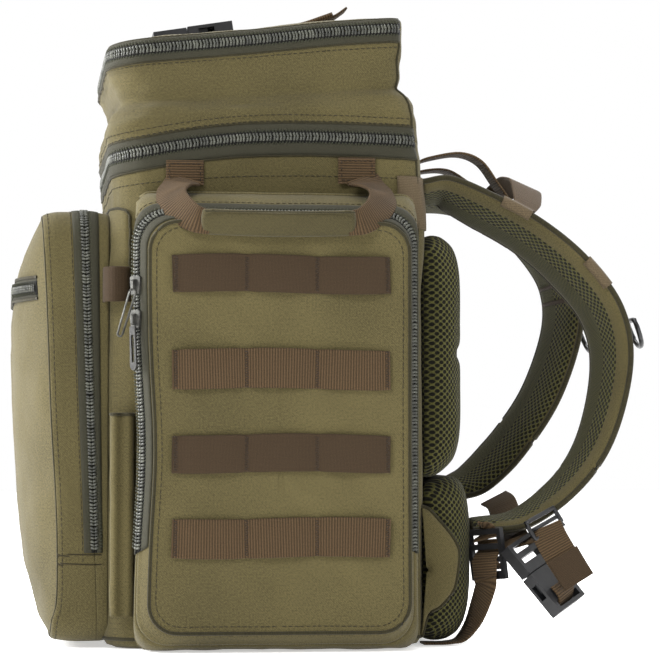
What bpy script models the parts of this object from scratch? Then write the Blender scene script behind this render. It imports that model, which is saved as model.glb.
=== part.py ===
"""Tackle backpack, modelled as its separate sewn and moulded pieces.

Lengths are written in millimetres and turned into metres when a mesh is made.
+Z is up, +X points to the wearer's back and -Y is the near side. The origin
lies under the middle of the main compartment's floor.
"""

import math

import bmesh
import bpy
from mathutils import Matrix, Vector

MM = 0.001
GAP = 0.3  # between pieces that touch
WALL = 3.0  # padded fabric wall
WEB = 1.6  # thickness of webbing
WEB_WIDTH = 25.0

# Main compartment and the box on top of it
FRONT_X = -114.0
REAR_X = 116.0
HALF_WIDTH = 114.0
FRONT_RADIUS = 30.0
REAR_RADIUS = 14.0
MAIN_ZIP_Z = 360.5  # chain height at x = 0
MAIN_ZIP_SLOPE = 0.055
MAIN_TAPE_BELOW = 13.0
MAIN_TAPE_ABOVE = 9.0
LID_ZIP_Z = 436.3
LID_ZIP_SLOPE = 0.1
LID_TAPE_BELOW = 8.0
LID_TAPE_ABOVE = 6.5
UPPER_FRONT_X = -112.0
LID_REAR_X = 102.0
UPPER_HALF_WIDTH = 112.0
LID_HALF_WIDTH = 110.0
SEAM_POINTS = (10, 11)  # of a plan outline: between them the rear walls meet at a hinge
LID_INSETS = (0.0, 10.0, 35.0, 75.0)
LID_HEIGHTS = (0.0, 4.0, 7.5, 10.5)

# Front pocket
POCKET_REAR_X = -114.5
POCKET_HALF_WIDTH = 100.0
POCKET_SPLIT_Z = 66.0  # its panel folds down about this level
POCKET_HINGE_X = -168.0
POCKET_ZIP_X = -123.0  # chain at the fold
POCKET_ZIP_LEAN = 5.0 / 244.0
POCKET_TAPE_FRONT = 8.0
POCKET_TAPE_REAR = 5.5

# Side pockets
SIDE_BACK_Y = 114.5
SIDE_FACE_Y = 160.0
SIDE_HINGE_Y = 161.3
SIDE_SPLIT_Z = 68.0
SIDE_CHAIN_X = (-92.5, 102.0)
SIDE_CHAIN_TOP = 311.5
SIDE_TAPE_Y = 139.0
SIDE_TAPE_INSIDE = 8.5
ROW_X = (-68.5, 84.0)
ROW_Z = ((65.0, 93.5), (125.0, 151.5), (183.0, 211.0), (250.0, 276.5))
ROW_FACE_Y = 161.4

# Carry handles
HANDLE_LEFT_X = (-72.0, -46.0)
HANDLE_RIGHT_X = (57.0, 83.0)
HANDLE_GRIP_X = (-48.0, 59.0)

# Padding
BACK_PAD_TOP = 299.5
LUMBAR_TOP = 117.5
STRAP_WIDTH = 62.0
STRAP_THICK = 10.0
STRAP_START_X = 118.9


def clear_scene():
    for item in list(bpy.data.objects):
        bpy.data.objects.remove(item, do_unlink=True)


def material(name, colour, roughness=0.9, metallic=0.0):
    """A plain Principled material in one colour."""
    made = bpy.data.materials.get(name)
    if made:
        return made
    made = bpy.data.materials.new(name)
    made.use_nodes = True
    shader = made.node_tree.nodes["Principled BSDF"]
    shader.inputs["Base Color"].default_value = (*colour, 1.0)
    shader.inputs["Roughness"].default_value = roughness
    shader.inputs["Metallic"].default_value = metallic
    made.diffuse_color = (*colour, 1.0)
    return made


def fabric():
    return material("olive_fabric", (0.165, 0.15, 0.065), 0.85)


def webbing():
    return material("brown_webbing", (0.13, 0.095, 0.06), 0.8)


def tape():
    return material("zip_tape", (0.10, 0.11, 0.075), 0.7)


def mesh_fabric():
    return material("spacer_mesh", (0.12, 0.125, 0.045), 0.95)


def plastic():
    return material("black_plastic", (0.02, 0.02, 0.023), 0.45)


def metal():
    return material("dark_metal", (0.35, 0.36, 0.37), 0.3, 0.9)


# ---------------------------------------------------------------- geometry


def add_object(name, vertices, faces, look, pivot=(0, 0, 0)):
    """One closed mesh object with its origin at the pivot."""
    place = Vector(pivot)
    mesh = bpy.data.meshes.new(name)
    build = bmesh.new()
    made = [build.verts.new((Vector(v) - place) * MM) for v in vertices]
    for face in faces:
        build.faces.new([made[i] for i in face])
    bmesh.ops.recalc_face_normals(build, faces=build.faces)
    build.to_mesh(mesh)
    build.free()
    item = bpy.data.objects.new(name, mesh)
    item.location = place * MM
    mesh.materials.append(look())
    bpy.context.scene.collection.objects.link(item)
    return item


def loft(name, rings, look, pivot=(0, 0, 0), ring_closed=False):
    """Skin a list of equal rings; the ends are capped, or joined to each other."""
    count = len(rings[0])
    vertices = [v for ring in rings for v in ring]
    faces = []
    spans = len(rings) if ring_closed else len(rings) - 1
    for i in range(spans):
        here = i * count
        there = (i + 1) % len(rings) * count
        for j in range(count):
            k = (j + 1) % count
            faces.append((here + j, here + k, there + k, there + j))
    if not ring_closed:
        faces.append(tuple(range(count)))
        faces.append(tuple((len(rings) - 1) * count + j for j in range(count)))
    return add_object(name, vertices, faces, look, pivot)


def rounded_rectangle(low, high, radii, steps=4):
    """Corner points anticlockwise from the low-low corner; one radius per corner."""
    corners = (
        (low[0], low[1], 180),
        (high[0], low[1], 270),
        (high[0], high[1], 0),
        (low[0], high[1], 90),
    )
    points = []
    for (u, v, start), radius in zip(corners, radii):
        centre_u = u + radius if start in (180, 90) else u - radius
        centre_v = v + radius if start in (180, 270) else v - radius
        for step in range(steps + 1):
            turn = math.radians(start + 90 * step / steps)
            points.append(
                (centre_u + radius * math.cos(turn), centre_v + radius * math.sin(turn))
            )
    return points


def plan(front, rear, half, inset=0.0, front_radius=FRONT_RADIUS, rear_radius=REAR_RADIUS):
    """The bag's outline from above, with two more points beside the rear corners."""
    front_radius = max(front_radius - inset, 1.0)
    rear_radius = max(rear_radius - inset, 1.0)
    points = rounded_rectangle(
        (front + inset, inset - half),
        (rear - inset, half - inset),
        (front_radius, rear_radius, rear_radius, front_radius),
    )
    seam = half - inset - rear_radius - 2.0
    x = rear - inset
    return points[:10] + [(x, -seam), (x, seam)] + points[10:]


def smooth_path(points, steps=4):
    """A Catmull-Rom curve through the points."""
    spots = [Vector(p) for p in points]
    spots = [2 * spots[0] - spots[1]] + spots + [2 * spots[-1] - spots[-2]]
    path = []
    for i in range(1, len(spots) - 2):
        before, a, b, after = spots[i - 1 : i + 3]
        for step in range(steps):
            t = step / steps
            path.append(
                0.5
                * (
                    2 * a
                    + (b - before) * t
                    + (2 * before - 5 * a + 4 * b - after) * t**2
                    + (3 * a - before - 3 * b + after) * t**3
                )
            )
    path.append(spots[-2])
    return path


def directions(path):
    """Unit tangent at each point of an open path."""
    last = len(path) - 1
    return [
        (path[min(i + 1, last)] - path[max(i - 1, 0)]).normalized()
        for i in range(last + 1)
    ]


def ribbon(name, points, across, look, width=WEB_WIDTH, thick=WEB, steps=4, pivot=(0, 0, 0)):
    """A flat strip along a smooth path; across is its width direction, or one for each end."""
    path = smooth_path(points, steps) if steps > 1 else [Vector(p) for p in points]
    ends = across if isinstance(across, list) else [across, across]
    rings = []
    for i, (spot, along) in enumerate(zip(path, directions(path))):
        share = i / (len(path) - 1)
        side = Vector(ends[0]).lerp(Vector(ends[1]), share)
        side = (side - side.dot(along) * along).normalized()
        up = side.cross(along).normalized()
        w = side * width / 2
        t = up * thick / 2
        rings.append([spot - w - t, spot + w - t, spot + w + t, spot - w + t])
    return loft(name, rings, look, pivot)


def block(name, low, high, look, pivot=(0, 0, 0), matrix=None):
    """A box between two corners, in its own axes if a matrix is given."""
    corners = [(x, y, z) for z in (low[2], high[2]) for x, y in (
        (low[0], low[1]), (high[0], low[1]), (high[0], high[1]), (low[0], high[1]))]
    if matrix:
        corners = [matrix @ Vector(c) for c in corners]
    return loft(name, [corners[:4], corners[4:]], look, pivot)


def prism(name, outline, low, high, axis, look, pivot=(0, 0, 0)):
    """An outline drawn in the two other axes and run from low to high along axis."""
    def lift(point, along):
        spot = list(point)
        spot.insert(axis, along)
        return spot

    return loft(name, [[lift(p, low) for p in outline], [lift(p, high) for p in outline]], look, pivot)


def axes_matrix(origin, along, across):
    """Local x along, local y across and local z out of both, moved to origin."""
    x = Vector(along).normalized()
    y = Vector(across) - Vector(across).dot(x) * x
    y.normalize()
    z = x.cross(y)
    turn = Matrix((x, y, z)).transposed().to_4x4()
    return Matrix.Translation(origin) @ turn


def combine(item, other, operation):
    """Cut, keep or join with another object, which stays as a hidden guide."""
    change = item.modifiers.new(operation.lower(), "BOOLEAN")
    change.operation = operation
    change.solver = "EXACT"
    change.object = other
    other.hide_render = True
    other.display_type = "WIRE"
    return item


def duplicate(item, name, look=None):
    """Another object on a copy of the mesh, with the same modifiers."""
    made = item.copy()
    made.data = item.data.copy()
    made.name = name
    made.hide_render = False
    made.display_type = "TEXTURED"
    if look:
        made.data.materials.clear()
        made.data.materials.append(look())
    bpy.context.scene.collection.objects.link(made)
    return made


# ---------------------------------------------------------------- body


def main_zip(x):
    return MAIN_ZIP_Z + MAIN_ZIP_SLOPE * x


def lid_zip(x):
    return LID_ZIP_Z + LID_ZIP_SLOPE * x


def lid_rise(x):
    """Height of the lid's middle above the top edge of its tape."""
    inset = min(x - UPPER_FRONT_X, LID_REAR_X - x)
    for i in range(3):
        if inset <= LID_INSETS[i + 1]:
            share = (inset - LID_INSETS[i]) / (LID_INSETS[i + 1] - LID_INSETS[i])
            return LID_HEIGHTS[i] + share * (LID_HEIGHTS[i + 1] - LID_HEIGHTS[i])
    return LID_HEIGHTS[3]


def lid_surface(x):
    return lid_zip(x) + LID_TAPE_ABOVE + lid_rise(x)


def level(outline, height, rear=None):
    """Lift a plan outline to a height that may depend on x, or to rear along the hinge seam."""
    lifted = []
    for i, (x, y) in enumerate(outline):
        law = rear if rear and i in SEAM_POINTS else height
        lifted.append((x, y, law(x) if callable(law) else law))
    return lifted


def main_body():
    outer = plan(FRONT_X, REAR_X, HALF_WIDTH)
    inner = plan(FRONT_X, REAR_X, HALF_WIDTH, WALL)
    foot = plan(FRONT_X, REAR_X, HALF_WIDTH, 5.0)
    rim = lambda x: main_zip(x) - MAIN_TAPE_BELOW
    seam = lambda x: main_zip(x) - 2 * GAP
    rings = [
        level(foot, 0.0),
        level(outer, 6.0),
        level(outer, rim, seam),
        level(inner, rim, seam),
        level(inner, WALL),
    ]
    loft("main_compartment", rings, fabric)
    low = (FRONT_X + WALL + 2, -HALF_WIDTH + WALL + 2)
    high = (REAR_X - WALL - 1, HALF_WIDTH - WALL - 2)
    board = rounded_rectangle(low, high, (26, 10, 10, 26))
    loft("base_board", [level(board, WALL + GAP), level(board, 6.0)], plastic)
    sheet_x = REAR_X - WALL - GAP - 2.0
    sheet = rounded_rectangle((-90, 7), (90, 330), (18, 18, 18, 18))
    prism("frame_sheet", sheet, sheet_x, sheet_x + 2.0, 0, plastic)
    anchor = anchor_path()
    rings = [
        [(x, y, 300.0), (ox, oy, 300.0), (ox, oy, 338.0), (x, y, 338.0)]
        for (x, y), (ox, oy) in anchor
    ]
    loft("anchor_band", rings, webbing)


def anchor_path():
    """Pairs of inner and outer points of a band round the back of the bag."""
    inner = plan(FRONT_X, REAR_X, HALF_WIDTH, -GAP)
    outer = plan(FRONT_X, REAR_X, HALF_WIDTH, -GAP - WEB)
    return [pair for pair in zip(inner, outer) if pair[0][0] > 107.5]


def zip_strip(name, front, rear, half, low, high, pivot=(0, 0, 0)):
    """One half of a zip, round the bag from one rear corner to the other."""
    thick = 2.0
    outer = plan(front, rear, half)
    inner = plan(front, rear, half, thick)
    seam_near, seam_far = SEAM_POINTS
    order = list(range(seam_near - 2, -1, -1)) + list(range(len(outer) - 1, seam_far + 1, -1))
    rings = []
    for i in order:
        x, y = outer[i]
        ix, iy = inner[i]
        rings.append([(x, y, low(x)), (ix, iy, low(x)), (ix, iy, high(x)), (x, y, high(x))])
    loft(name, rings, tape, pivot)


def main_zip_halves():
    zip_strip(
        "main_zip_lower", FRONT_X, REAR_X, HALF_WIDTH,
        lambda x: main_zip(x) - MAIN_TAPE_BELOW + GAP,
        lambda x: main_zip(x) - GAP,
    )
    zip_strip(
        "main_zip_upper", FRONT_X + 1, REAR_X - 2, HALF_WIDTH - 1,
        lambda x: main_zip(x) + GAP,
        lambda x: main_zip(x) + MAIN_TAPE_ABOVE - GAP,
        upper_hinge(),
    )


def upper_hinge():
    return (REAR_X + 0.5, 0, main_zip(REAR_X))


def lid_hinge():
    return (LID_REAR_X + 0.5, 0, lid_zip(LID_REAR_X))


def upper_box():
    """The upper compartment: a tub whose wall is nipped in half way up."""
    sides = lambda x: main_zip(x) + MAIN_TAPE_ABOVE
    foot_seam = lambda x: main_zip(x) + GAP
    rim = lambda x: lid_zip(x) - LID_TAPE_BELOW
    rim_seam = lambda x: lid_zip(x) - 2 * GAP
    low_out = plan(UPPER_FRONT_X - 1, REAR_X - 2, UPPER_HALF_WIDTH + 1)
    waist_out = plan(UPPER_FRONT_X + 5, LID_REAR_X - 2, UPPER_HALF_WIDTH - 4)
    top_out = plan(UPPER_FRONT_X, LID_REAR_X, LID_HALF_WIDTH)
    under = plan(UPPER_FRONT_X - 1, REAR_X - 2, UPPER_HALF_WIDTH + 1, 9.0)
    floor = plan(UPPER_FRONT_X - 1, REAR_X - 2, UPPER_HALF_WIDTH + 1, 8.0)
    waist_in = plan(UPPER_FRONT_X + 5, LID_REAR_X - 2, UPPER_HALF_WIDTH - 4, WALL)
    top_in = plan(UPPER_FRONT_X, LID_REAR_X, LID_HALF_WIDTH, WALL)
    belly = lambda x: main_zip(x) + 22.0
    waist = lambda x: lid_zip(x) - 38.0
    low_in = plan(UPPER_FRONT_X - 1, REAR_X - 2, UPPER_HALF_WIDTH + 1, WALL)
    rings = [
        level(under, sides),
        level(low_out, sides, foot_seam),
        level(low_out, belly),
        level(waist_out, waist),
        level(top_out, lambda x: waist(x) + 20.0),
        level(top_out, rim, rim_seam),
        level(top_in, rim, rim_seam),
        level(top_in, lambda x: waist(x) + 20.0),
        level(waist_in, waist),
        level(low_in, belly),
        level(floor, lambda x: sides(x) + WALL),
    ]
    loft("upper_compartment", rings, fabric, upper_hinge())


def lid():
    edge = lambda x: lid_zip(x) + LID_TAPE_ABOVE
    seam = lambda x: lid_zip(x) + GAP
    outlines = [
        plan(UPPER_FRONT_X, LID_REAR_X, LID_HALF_WIDTH, inset, FRONT_RADIUS + 20, 40.0)
        for inset in LID_INSETS[1:]
    ]
    rim_out = plan(UPPER_FRONT_X, LID_REAR_X, LID_HALF_WIDTH)
    rim_in = plan(UPPER_FRONT_X, LID_REAR_X, LID_HALF_WIDTH, WALL)

    def dome(i, drop=0.0):
        rise = LID_HEIGHTS[i + 1] - drop
        return level(outlines[i], lambda x: lid_zip(x) + LID_TAPE_ABOVE + rise)

    rings = [
        dome(2),
        dome(1),
        dome(0),
        level(rim_out, lambda x: lid_zip(x) + LID_TAPE_ABOVE + 1.0),
        level(rim_out, edge, seam),
        level(rim_in, edge, seam),
        dome(0, 4.5),
        dome(1, WALL),
        dome(2, WALL),
    ]
    loft("lid", rings, fabric, lid_hinge())
    zip_strip(
        "lid_zip_lower", UPPER_FRONT_X, LID_REAR_X, LID_HALF_WIDTH,
        lambda x: lid_zip(x) - LID_TAPE_BELOW + GAP,
        lambda x: lid_zip(x) - GAP,
        upper_hinge(),
    )
    zip_strip(
        "lid_zip_upper", UPPER_FRONT_X, LID_REAR_X, LID_HALF_WIDTH,
        lambda x: lid_zip(x) + GAP,
        lambda x: lid_zip(x) + LID_TAPE_ABOVE - GAP,
        lid_hinge(),
    )


# ---------------------------------------------------------------- buckles


def buckle_female(name, matrix, pivot):
    """Socket half: local x runs into it from the joint line, width along y."""
    body = block(name, (0, -17, -5), (34, 17, 5), plastic, pivot, matrix)
    cavity = block(name + ".cavity", (-2, -14, -2.6), (22, 14, 2.6), plastic, (0, 0, 0), matrix)
    windows = block(name + ".windows", (8, -20, -2.6), (20, 20, 2.6), plastic, (0, 0, 0), matrix)
    slot = block(name + ".slot", (26, -13.2, -8), (31, 13.2, 8), plastic, (0, 0, 0), matrix)
    for cutter in (cavity, windows, slot):
        combine(body, cutter, "DIFFERENCE")
    return body


def buckle_male(name, matrix, pivot):
    """Plug half: a slotted base with two arms and a guide tongue."""
    outline = [
        (-26, -17), (-0.4, -17), (-0.4, -13.5), (15, -13.5), (19, -9), (15, -8),
        (-0.4, -8.5), (-0.4, -2.5), (14, -2.5), (14, 2.5), (-0.4, 2.5), (-0.4, 8.5),
        (15, 8), (19, 9), (15, 13.5), (-0.4, 13.5), (-0.4, 17), (-26, 17),
    ]
    rings = [[matrix @ Vector((x, y, z)) for x, y in outline] for z in (-2.2, 2.2)]
    body = loft(name, rings, plastic, pivot)
    base = block(name + ".base", (-26, -17, -4.5), (-1, 17, 4.5), plastic, (0, 0, 0), matrix)
    combine(body, base, "UNION")
    for i, (start, stop) in enumerate(((-23, -18), (-13.5, -9))):
        slot = block(f"{name}.slot{i}", (start, -13.2, -8), (stop, 13.2, 8), plastic, (0, 0, 0), matrix)
        combine(body, slot, "DIFFERENCE")
    return body


def lid_buckle_matrix():
    x = -48.0
    slope = 0.16
    return axes_matrix((x, 0, lid_surface(x) + 7.6), (1, 0, slope), (0, 1, 0))


def lid_strap():
    matrix = lid_buckle_matrix()
    centre = matrix.translation
    buckle_female("lid_buckle_female", matrix, centre)
    buckle_male("lid_buckle_male", matrix, centre)
    lift = WEB / 2 + 0.5

    def on_lid(x, extra=0.0):
        return (x, 0, lid_surface(x) + lift + extra)

    front_bar = matrix @ Vector((-27.5, 0, 0))
    ribbon(
        "lid_strap_front",
        [on_lid(-108, 2.5), on_lid(-102, 2.5), on_lid(-92, 1.5), on_lid(-84, 1.5), front_bar],
        (0, 1, 0), webbing, 24.0, WEB, 2,
    )
    rear_bar = matrix @ Vector((35.5, 0, 0))
    ribbon(
        "lid_strap_rear",
        [rear_bar, on_lid(0, 1.5), on_lid(34, 1.2), (52, 0, 467.5), (62, 0, 472), (73, 0, 478.5)],
        (0, 1, 0), webbing, 24.0, WEB, 2,
    )


# ---------------------------------------------------------------- pockets


def pocket_zip_x(z):
    return POCKET_ZIP_X - POCKET_ZIP_LEAN * (z - POCKET_SPLIT_Z)


def pocket_region(offset, front, low=POCKET_SPLIT_Z + GAP, high=340.0):
    """Outline in x and z between a line beside the zip and a line further forward."""
    return [
        (pocket_zip_x(low) + offset, low),
        (pocket_zip_x(high) + offset, high),
        (pocket_zip_x(high) + front, high),
        (pocket_zip_x(low) + front, low),
    ]


def pocket_rings(inset):
    """Rounded outlines of the front pocket from its back to its bulged front."""
    stations = (
        (POCKET_REAR_X, POCKET_HALF_WIDTH, 5, 312, 20),
        (-147, POCKET_HALF_WIDTH, 8, 310, 22),
        (-157, 94, 30, 305, 28),
        (-167, 81, 64, 292, 34),
        (-176, 58, 112, 264, 38),
        (-180.5, 30, 152, 232, 28),
    )
    rings = []
    for x, half, low, high, radius in stations:
        rear = x == POCKET_REAR_X
        depth = x + inset if not rear else x + (8 if inset else 0)
        outline = rounded_rectangle(
            (-half + inset, low + inset), (half - inset, high - inset), (radius - inset,) * 4
        )
        rings.append([(depth, y, z) for y, z in outline])
    return rings


def front_pocket():
    hinge = (POCKET_HINGE_X, 0, POCKET_SPLIT_Z)
    body = loft("front_pocket", pocket_rings(0), fabric)
    hollow = loft("front_pocket.hollow", pocket_rings(WALL), fabric)
    parts = (
        ("front_panel", -POCKET_TAPE_FRONT - GAP, -90.0, fabric),
        ("front_zip_front", -GAP / 2, -POCKET_TAPE_FRONT, tape),
        ("front_zip_rear", POCKET_TAPE_REAR, GAP / 2, tape),
    )
    for name, rear, front, look in parts:
        region = prism(name + ".region", pocket_region(rear, front), -150, 150, 1, look)
        cut_piece(body, name, look, region, hollow)
    region = block("front_small_zip.region", (-200, -72, 251.3), (-155, 72, 263.7), tape)
    cut_piece(body, "front_small_zip", tape, region, hollow)
    slot = block("front_panel.slot", (-200, -72.3, 251), (-155, 72.3, 264), tape)
    combine(bpy.data.objects["front_panel"], slot, "DIFFERENCE")
    outline = pocket_region(POCKET_TAPE_REAR + GAP, -90.0, POCKET_SPLIT_Z)
    opening = prism("front_pocket.opening", outline, -150, 150, 1, fabric)
    combine(body, opening, "DIFFERENCE")
    combine(body, hollow, "DIFFERENCE")
    for name in ("front_panel", "front_zip_front", "front_small_zip"):
        move_origin(name, hinge)


def cut_piece(body, name, look, region, hollow):
    """The part of a pocket's wall that lies inside a region."""
    piece = duplicate(body, name, look)
    combine(piece, region, "INTERSECT")
    combine(piece, hollow, "DIFFERENCE")
    return piece


def move_origin(name, pivot):
    """Put an object's origin on a pivot without moving its shape."""
    item = bpy.data.objects[name]
    place = Vector(pivot) * MM
    item.data.transform(Matrix.Translation(item.location - place))
    item.location = place


def side_rings(side, inset):
    """Rounded outlines of a side pocket from its back to its face."""
    stations = (
        (SIDE_BACK_Y, -98, 107, 2, 322, 24),
        (147.0, -96, 104.5, 3, 315, 24),
        (SIDE_FACE_Y, -84, 98, 14, 304.5, 20),
        (SIDE_FACE_Y + 1, -70, 84, 30, 290, 20),
    )
    rings = []
    for y, left, right, low, high, radius in stations:
        back = y == SIDE_BACK_Y
        depth = y - inset if not back else y - (8 if inset else 0)
        outline = rounded_rectangle(
            (left + inset, low + inset), (right - inset, high - inset), (radius - inset,) * 4
        )
        rings.append([(x, side * depth, z) for x, z in outline])
    return rings


def side_prism(name, margin, side, low=SIDE_SPLIT_Z + GAP, reach=(130, 190)):
    """The region inside the zip's chain line, grown outwards by margin."""
    outline = rounded_rectangle(
        (SIDE_CHAIN_X[0] - margin, low),
        (SIDE_CHAIN_X[1] + margin, SIDE_CHAIN_TOP + margin),
        (0.01, 0.01, 22 + margin, 22 + margin),
    )
    outline = outline[4:6] + outline[10:] + outline[0:1]
    return prism(name, outline, side * reach[0], side * reach[1], 1, fabric)


def side_pocket(side, label, with_zip):
    hinge = (0, side * SIDE_HINGE_Y, SIDE_SPLIT_Z)
    body = loft(f"side_pocket_{label}", side_rings(side, 0), fabric)
    hollow = loft(f"side_pocket_{label}.hollow", side_rings(side, WALL), fabric)
    name = f"side_panel_{label}"
    margin = -SIDE_TAPE_INSIDE if with_zip else 0.0
    region = side_prism(name + ".region", margin - GAP / 2, side)
    cut_piece(body, name, fabric, region, hollow)
    move_origin(name, hinge)
    if with_zip:
        name = f"side_zip_{label}_inner"
        reach = (SIDE_TAPE_Y, 190)
        region = side_prism(name + ".region", -GAP / 2, side, SIDE_SPLIT_Z + GAP, reach)
        strip = cut_piece(body, name, tape, region, hollow)
        middle = side_prism(name + ".middle", GAP / 2 - SIDE_TAPE_INSIDE, side, 60.0)
        combine(strip, middle, "DIFFERENCE")
        move_origin(name, hinge)
        name = f"side_zip_{label}_outer"
        region = side_block(name + ".region", side, SIDE_TAPE_Y, SIDE_SPLIT_Z + GAP)
        strip = cut_piece(body, name, tape, region, hollow)
        combine(strip, side_prism(name + ".middle", GAP / 2, side, 60.0), "DIFFERENCE")
        opening = side_block(body.name + ".opening", side, SIDE_TAPE_Y - GAP, SIDE_SPLIT_Z)
    else:
        opening = side_prism(body.name + ".opening", GAP / 2, side, SIDE_SPLIT_Z)
    combine(body, opening, "DIFFERENCE")
    combine(body, hollow, "DIFFERENCE")
    return hinge


def side_block(name, side, start, low):
    """Everything further out than start and higher than low on one side."""
    ends = sorted((side * start, side * 200))
    return block(name, (-150, ends[0], low), (150, ends[1], 350), fabric)


def webbing_rows(side, label, hinge):
    for i, (low, high) in enumerate(ROW_Z):
        ends = sorted((side * ROW_FACE_Y, side * (ROW_FACE_Y + WEB)))
        start = max(low, SIDE_SPLIT_Z + 1.0)
        block(
            f"webbing_row_{label}_{i + 1}",
            (ROW_X[0], ends[0], start), (ROW_X[1], ends[1], high), webbing, hinge,
        )


# ---------------------------------------------------------------- handles


def handle_profile(side):
    """The folded webbing's path from the seam out and down to the grip."""
    return [
        (side * 117.6, 330.5), (side * 128, 330.0), (side * 142, 326.5),
        (side * 158, 317.0), (side * 166.5, 305.0), (side * 167.5, 290.5),
    ]


def handle(side, label, separate_grip):
    pivot = (0, side * 117.0, 331.0)
    name = f"handle_webbing_{label}" if separate_grip else f"side_handle_{label}"
    legs = []
    for i, (left, right) in enumerate((HANDLE_LEFT_X, HANDLE_RIGHT_X)):
        middle = (left + right) / 2
        path = [(middle, y, z) for y, z in handle_profile(side)]
        tag = name if i == 0 else name + ".leg"
        legs.append(ribbon(tag, path, (1, 0, 0), webbing, right - left, WEB, 2, pivot))
    ends = sorted((side * 166.4, side * 168.2))
    low = (HANDLE_LEFT_X[1] - 6, ends[0], 292.0)
    high = (HANDLE_RIGHT_X[0] + 6, ends[1], 303.0)
    bar = block(name + ".bar", low, high, webbing)
    combine(legs[0], bar, "UNION")
    combine(legs[0], legs[1], "UNION")
    rings = []
    grip_steps = 10
    for x in (HANDLE_GRIP_X[0] + 3.5, HANDLE_GRIP_X[1] - 3.5):
        ring = []
        for step in range(grip_steps):
            turn = 2 * math.pi * step / grip_steps
            ring.append((x, side * 167.4 + 5.6 * math.cos(turn), 297.5 + 10.0 * math.sin(turn)))
        rings.append(ring)
    grip = loft(f"handle_grip_{label}" if separate_grip else name + ".grip", rings, fabric, pivot)
    if not separate_grip:
        combine(legs[0], grip, "UNION")
        return
    low = (low[0] - 20, low[1] - GAP, low[2] - GAP)
    high = (high[0] + 20, high[1] + GAP, high[2] + GAP)
    core = block(grip.name + ".core", low, high, fabric)
    combine(grip, core, "DIFFERENCE")


# ---------------------------------------------------------------- zip sliders


def slider(name, origin, along, out, look):
    """A zip slider with the bridge for its pull: local x along the chain, z outwards."""
    across = Vector(out).cross(Vector(along))
    matrix = axes_matrix(origin, along, across)
    outline = [(-6, -3.6), (2, -4.8), (6, -4.8), (7, -3), (7, 3), (6, 4.8), (2, 4.8), (-6, 3.6)]
    rings = [[matrix @ Vector((x, y, z)) for x, y in outline] for z in (0.4, 2.2)]
    body = loft(name, rings, look, origin)
    bridge = [(-3.5, 2.0), (-3.5, 3.6), (-2, 5.4), (3, 5.4), (4.5, 3.6), (4.5, 2.0)]
    sides = [[matrix @ Vector((x, y, z)) for x, z in bridge] for y in (-1.2, 1.2)]
    arch = loft(name + ".arch", sides, look)
    combine(body, arch, "UNION")
    return matrix


def far_slider(name, x, y, z, along):
    """A slider on the far side with its short pull hanging straight down."""
    slider(name, (x, y, z), along, (0, 1, 0), metal)
    pull = block(name + ".pull", (x - 2.5, y + 3.2, z - 18), (x + 2.5, y + 4.8, z + 1), metal)
    combine(bpy.data.objects[name], pull, "UNION")


def pull_tab(name, matrix, length, tilt, lean, look):
    """A flat pull with a slot, hanging from a slider's bridge and leaning off the bag."""
    pivot = matrix @ Vector((-4.4, 0, 4.2))
    turn = matrix @ Matrix.Translation((-4.4, 0, 4.2))
    turn = turn @ Matrix.Rotation(lean, 4, "Y") @ Matrix.Rotation(tilt, 4, "Z")
    outline = [
        (0, -2.6), (0, 2.6), (-4, 2.6), (-length, 3.2), (-length - 2.5, 1.5),
        (-length - 2.5, -1.5), (-length, -3.2), (-4, -2.6),
    ]
    rings = [[turn @ Vector((x, y, z)) for x, y in outline] for z in (-0.7, 0.7)]
    item = loft(name, rings, look, pivot)
    slot = block(name + ".slot", (-length + 3, -1.2, -4), (-6, 1.2, 4), look, (0, 0, 0), turn)
    combine(item, slot, "DIFFERENCE")


def near_sliders():
    out = (-0.735, -0.68, 0)
    up = (0, 0, 1)
    surface = Vector((-92.5, -150.8, 0))
    for label, height, length, tilt, lean in (
        ("upper", 255.0, 32.0, -0.16, 0.3),
        ("lower", 231.0, 28.0, 0.05, 0.0),
    ):
        origin = surface + Vector((0, 0, height))
        matrix = slider(f"zip_slider_near_{label}", origin, up, out, metal)
        pull_tab(f"zip_pull_near_{label}", matrix, length, tilt, lean, metal)


def far_sliders():
    far_slider("main_zip_slider", 40, HALF_WIDTH + GAP, main_zip(40), (1, 0, MAIN_ZIP_SLOPE))
    far_slider("lid_zip_slider", 20, LID_HALF_WIDTH + GAP, lid_zip(20), (1, 0, LID_ZIP_SLOPE))
    z = 250.0
    y = POCKET_HALF_WIDTH + GAP
    far_slider("front_zip_slider", pocket_zip_x(z), y, z, (-POCKET_ZIP_LEAN, 0, 1))


# ---------------------------------------------------------------- back and harness


def pad(name, stations, look):
    """A crowned pad lofted away from the bag's back: x, half width, low, high, radius."""
    rings = []
    for x, half, low, high, radius in stations:
        outline = rounded_rectangle((-half, low), (half, high), (radius,) * 4)
        rings.append([(x, y, z) for y, z in outline])
    return loft(name, rings, look)


def back_padding():
    start = REAR_X + GAP
    pad("back_pad", (
        (start, 104, LUMBAR_TOP + 1.5, BACK_PAD_TOP, 18),
        (130, 104, 130, 298, 20),
        (139, 98, 138, 289, 22),
        (142.5, 84, 155, 272, 24),
    ), mesh_fabric)
    pad("lumbar_pad", (
        (start, 100, 2.5, LUMBAR_TOP, 16),
        (132, 100, 3, LUMBAR_TOP + 2, 18),
        (145, 95, 12, LUMBAR_TOP, 22),
        (151, 80, 34, 104, 24),
    ), mesh_fabric)
    outline = [(116.6, 100), (139, 76.5), (142.5, 67), (139.5, 40.5), (122, 24), (116.6, 8)]
    for side, label in ((-1, "near"), (1, "far")):
        ends = sorted((side * 103.0, side * 106.0))
        prism(f"hip_wing_{label}", outline, ends[0], ends[1], 1, fabric)


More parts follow.
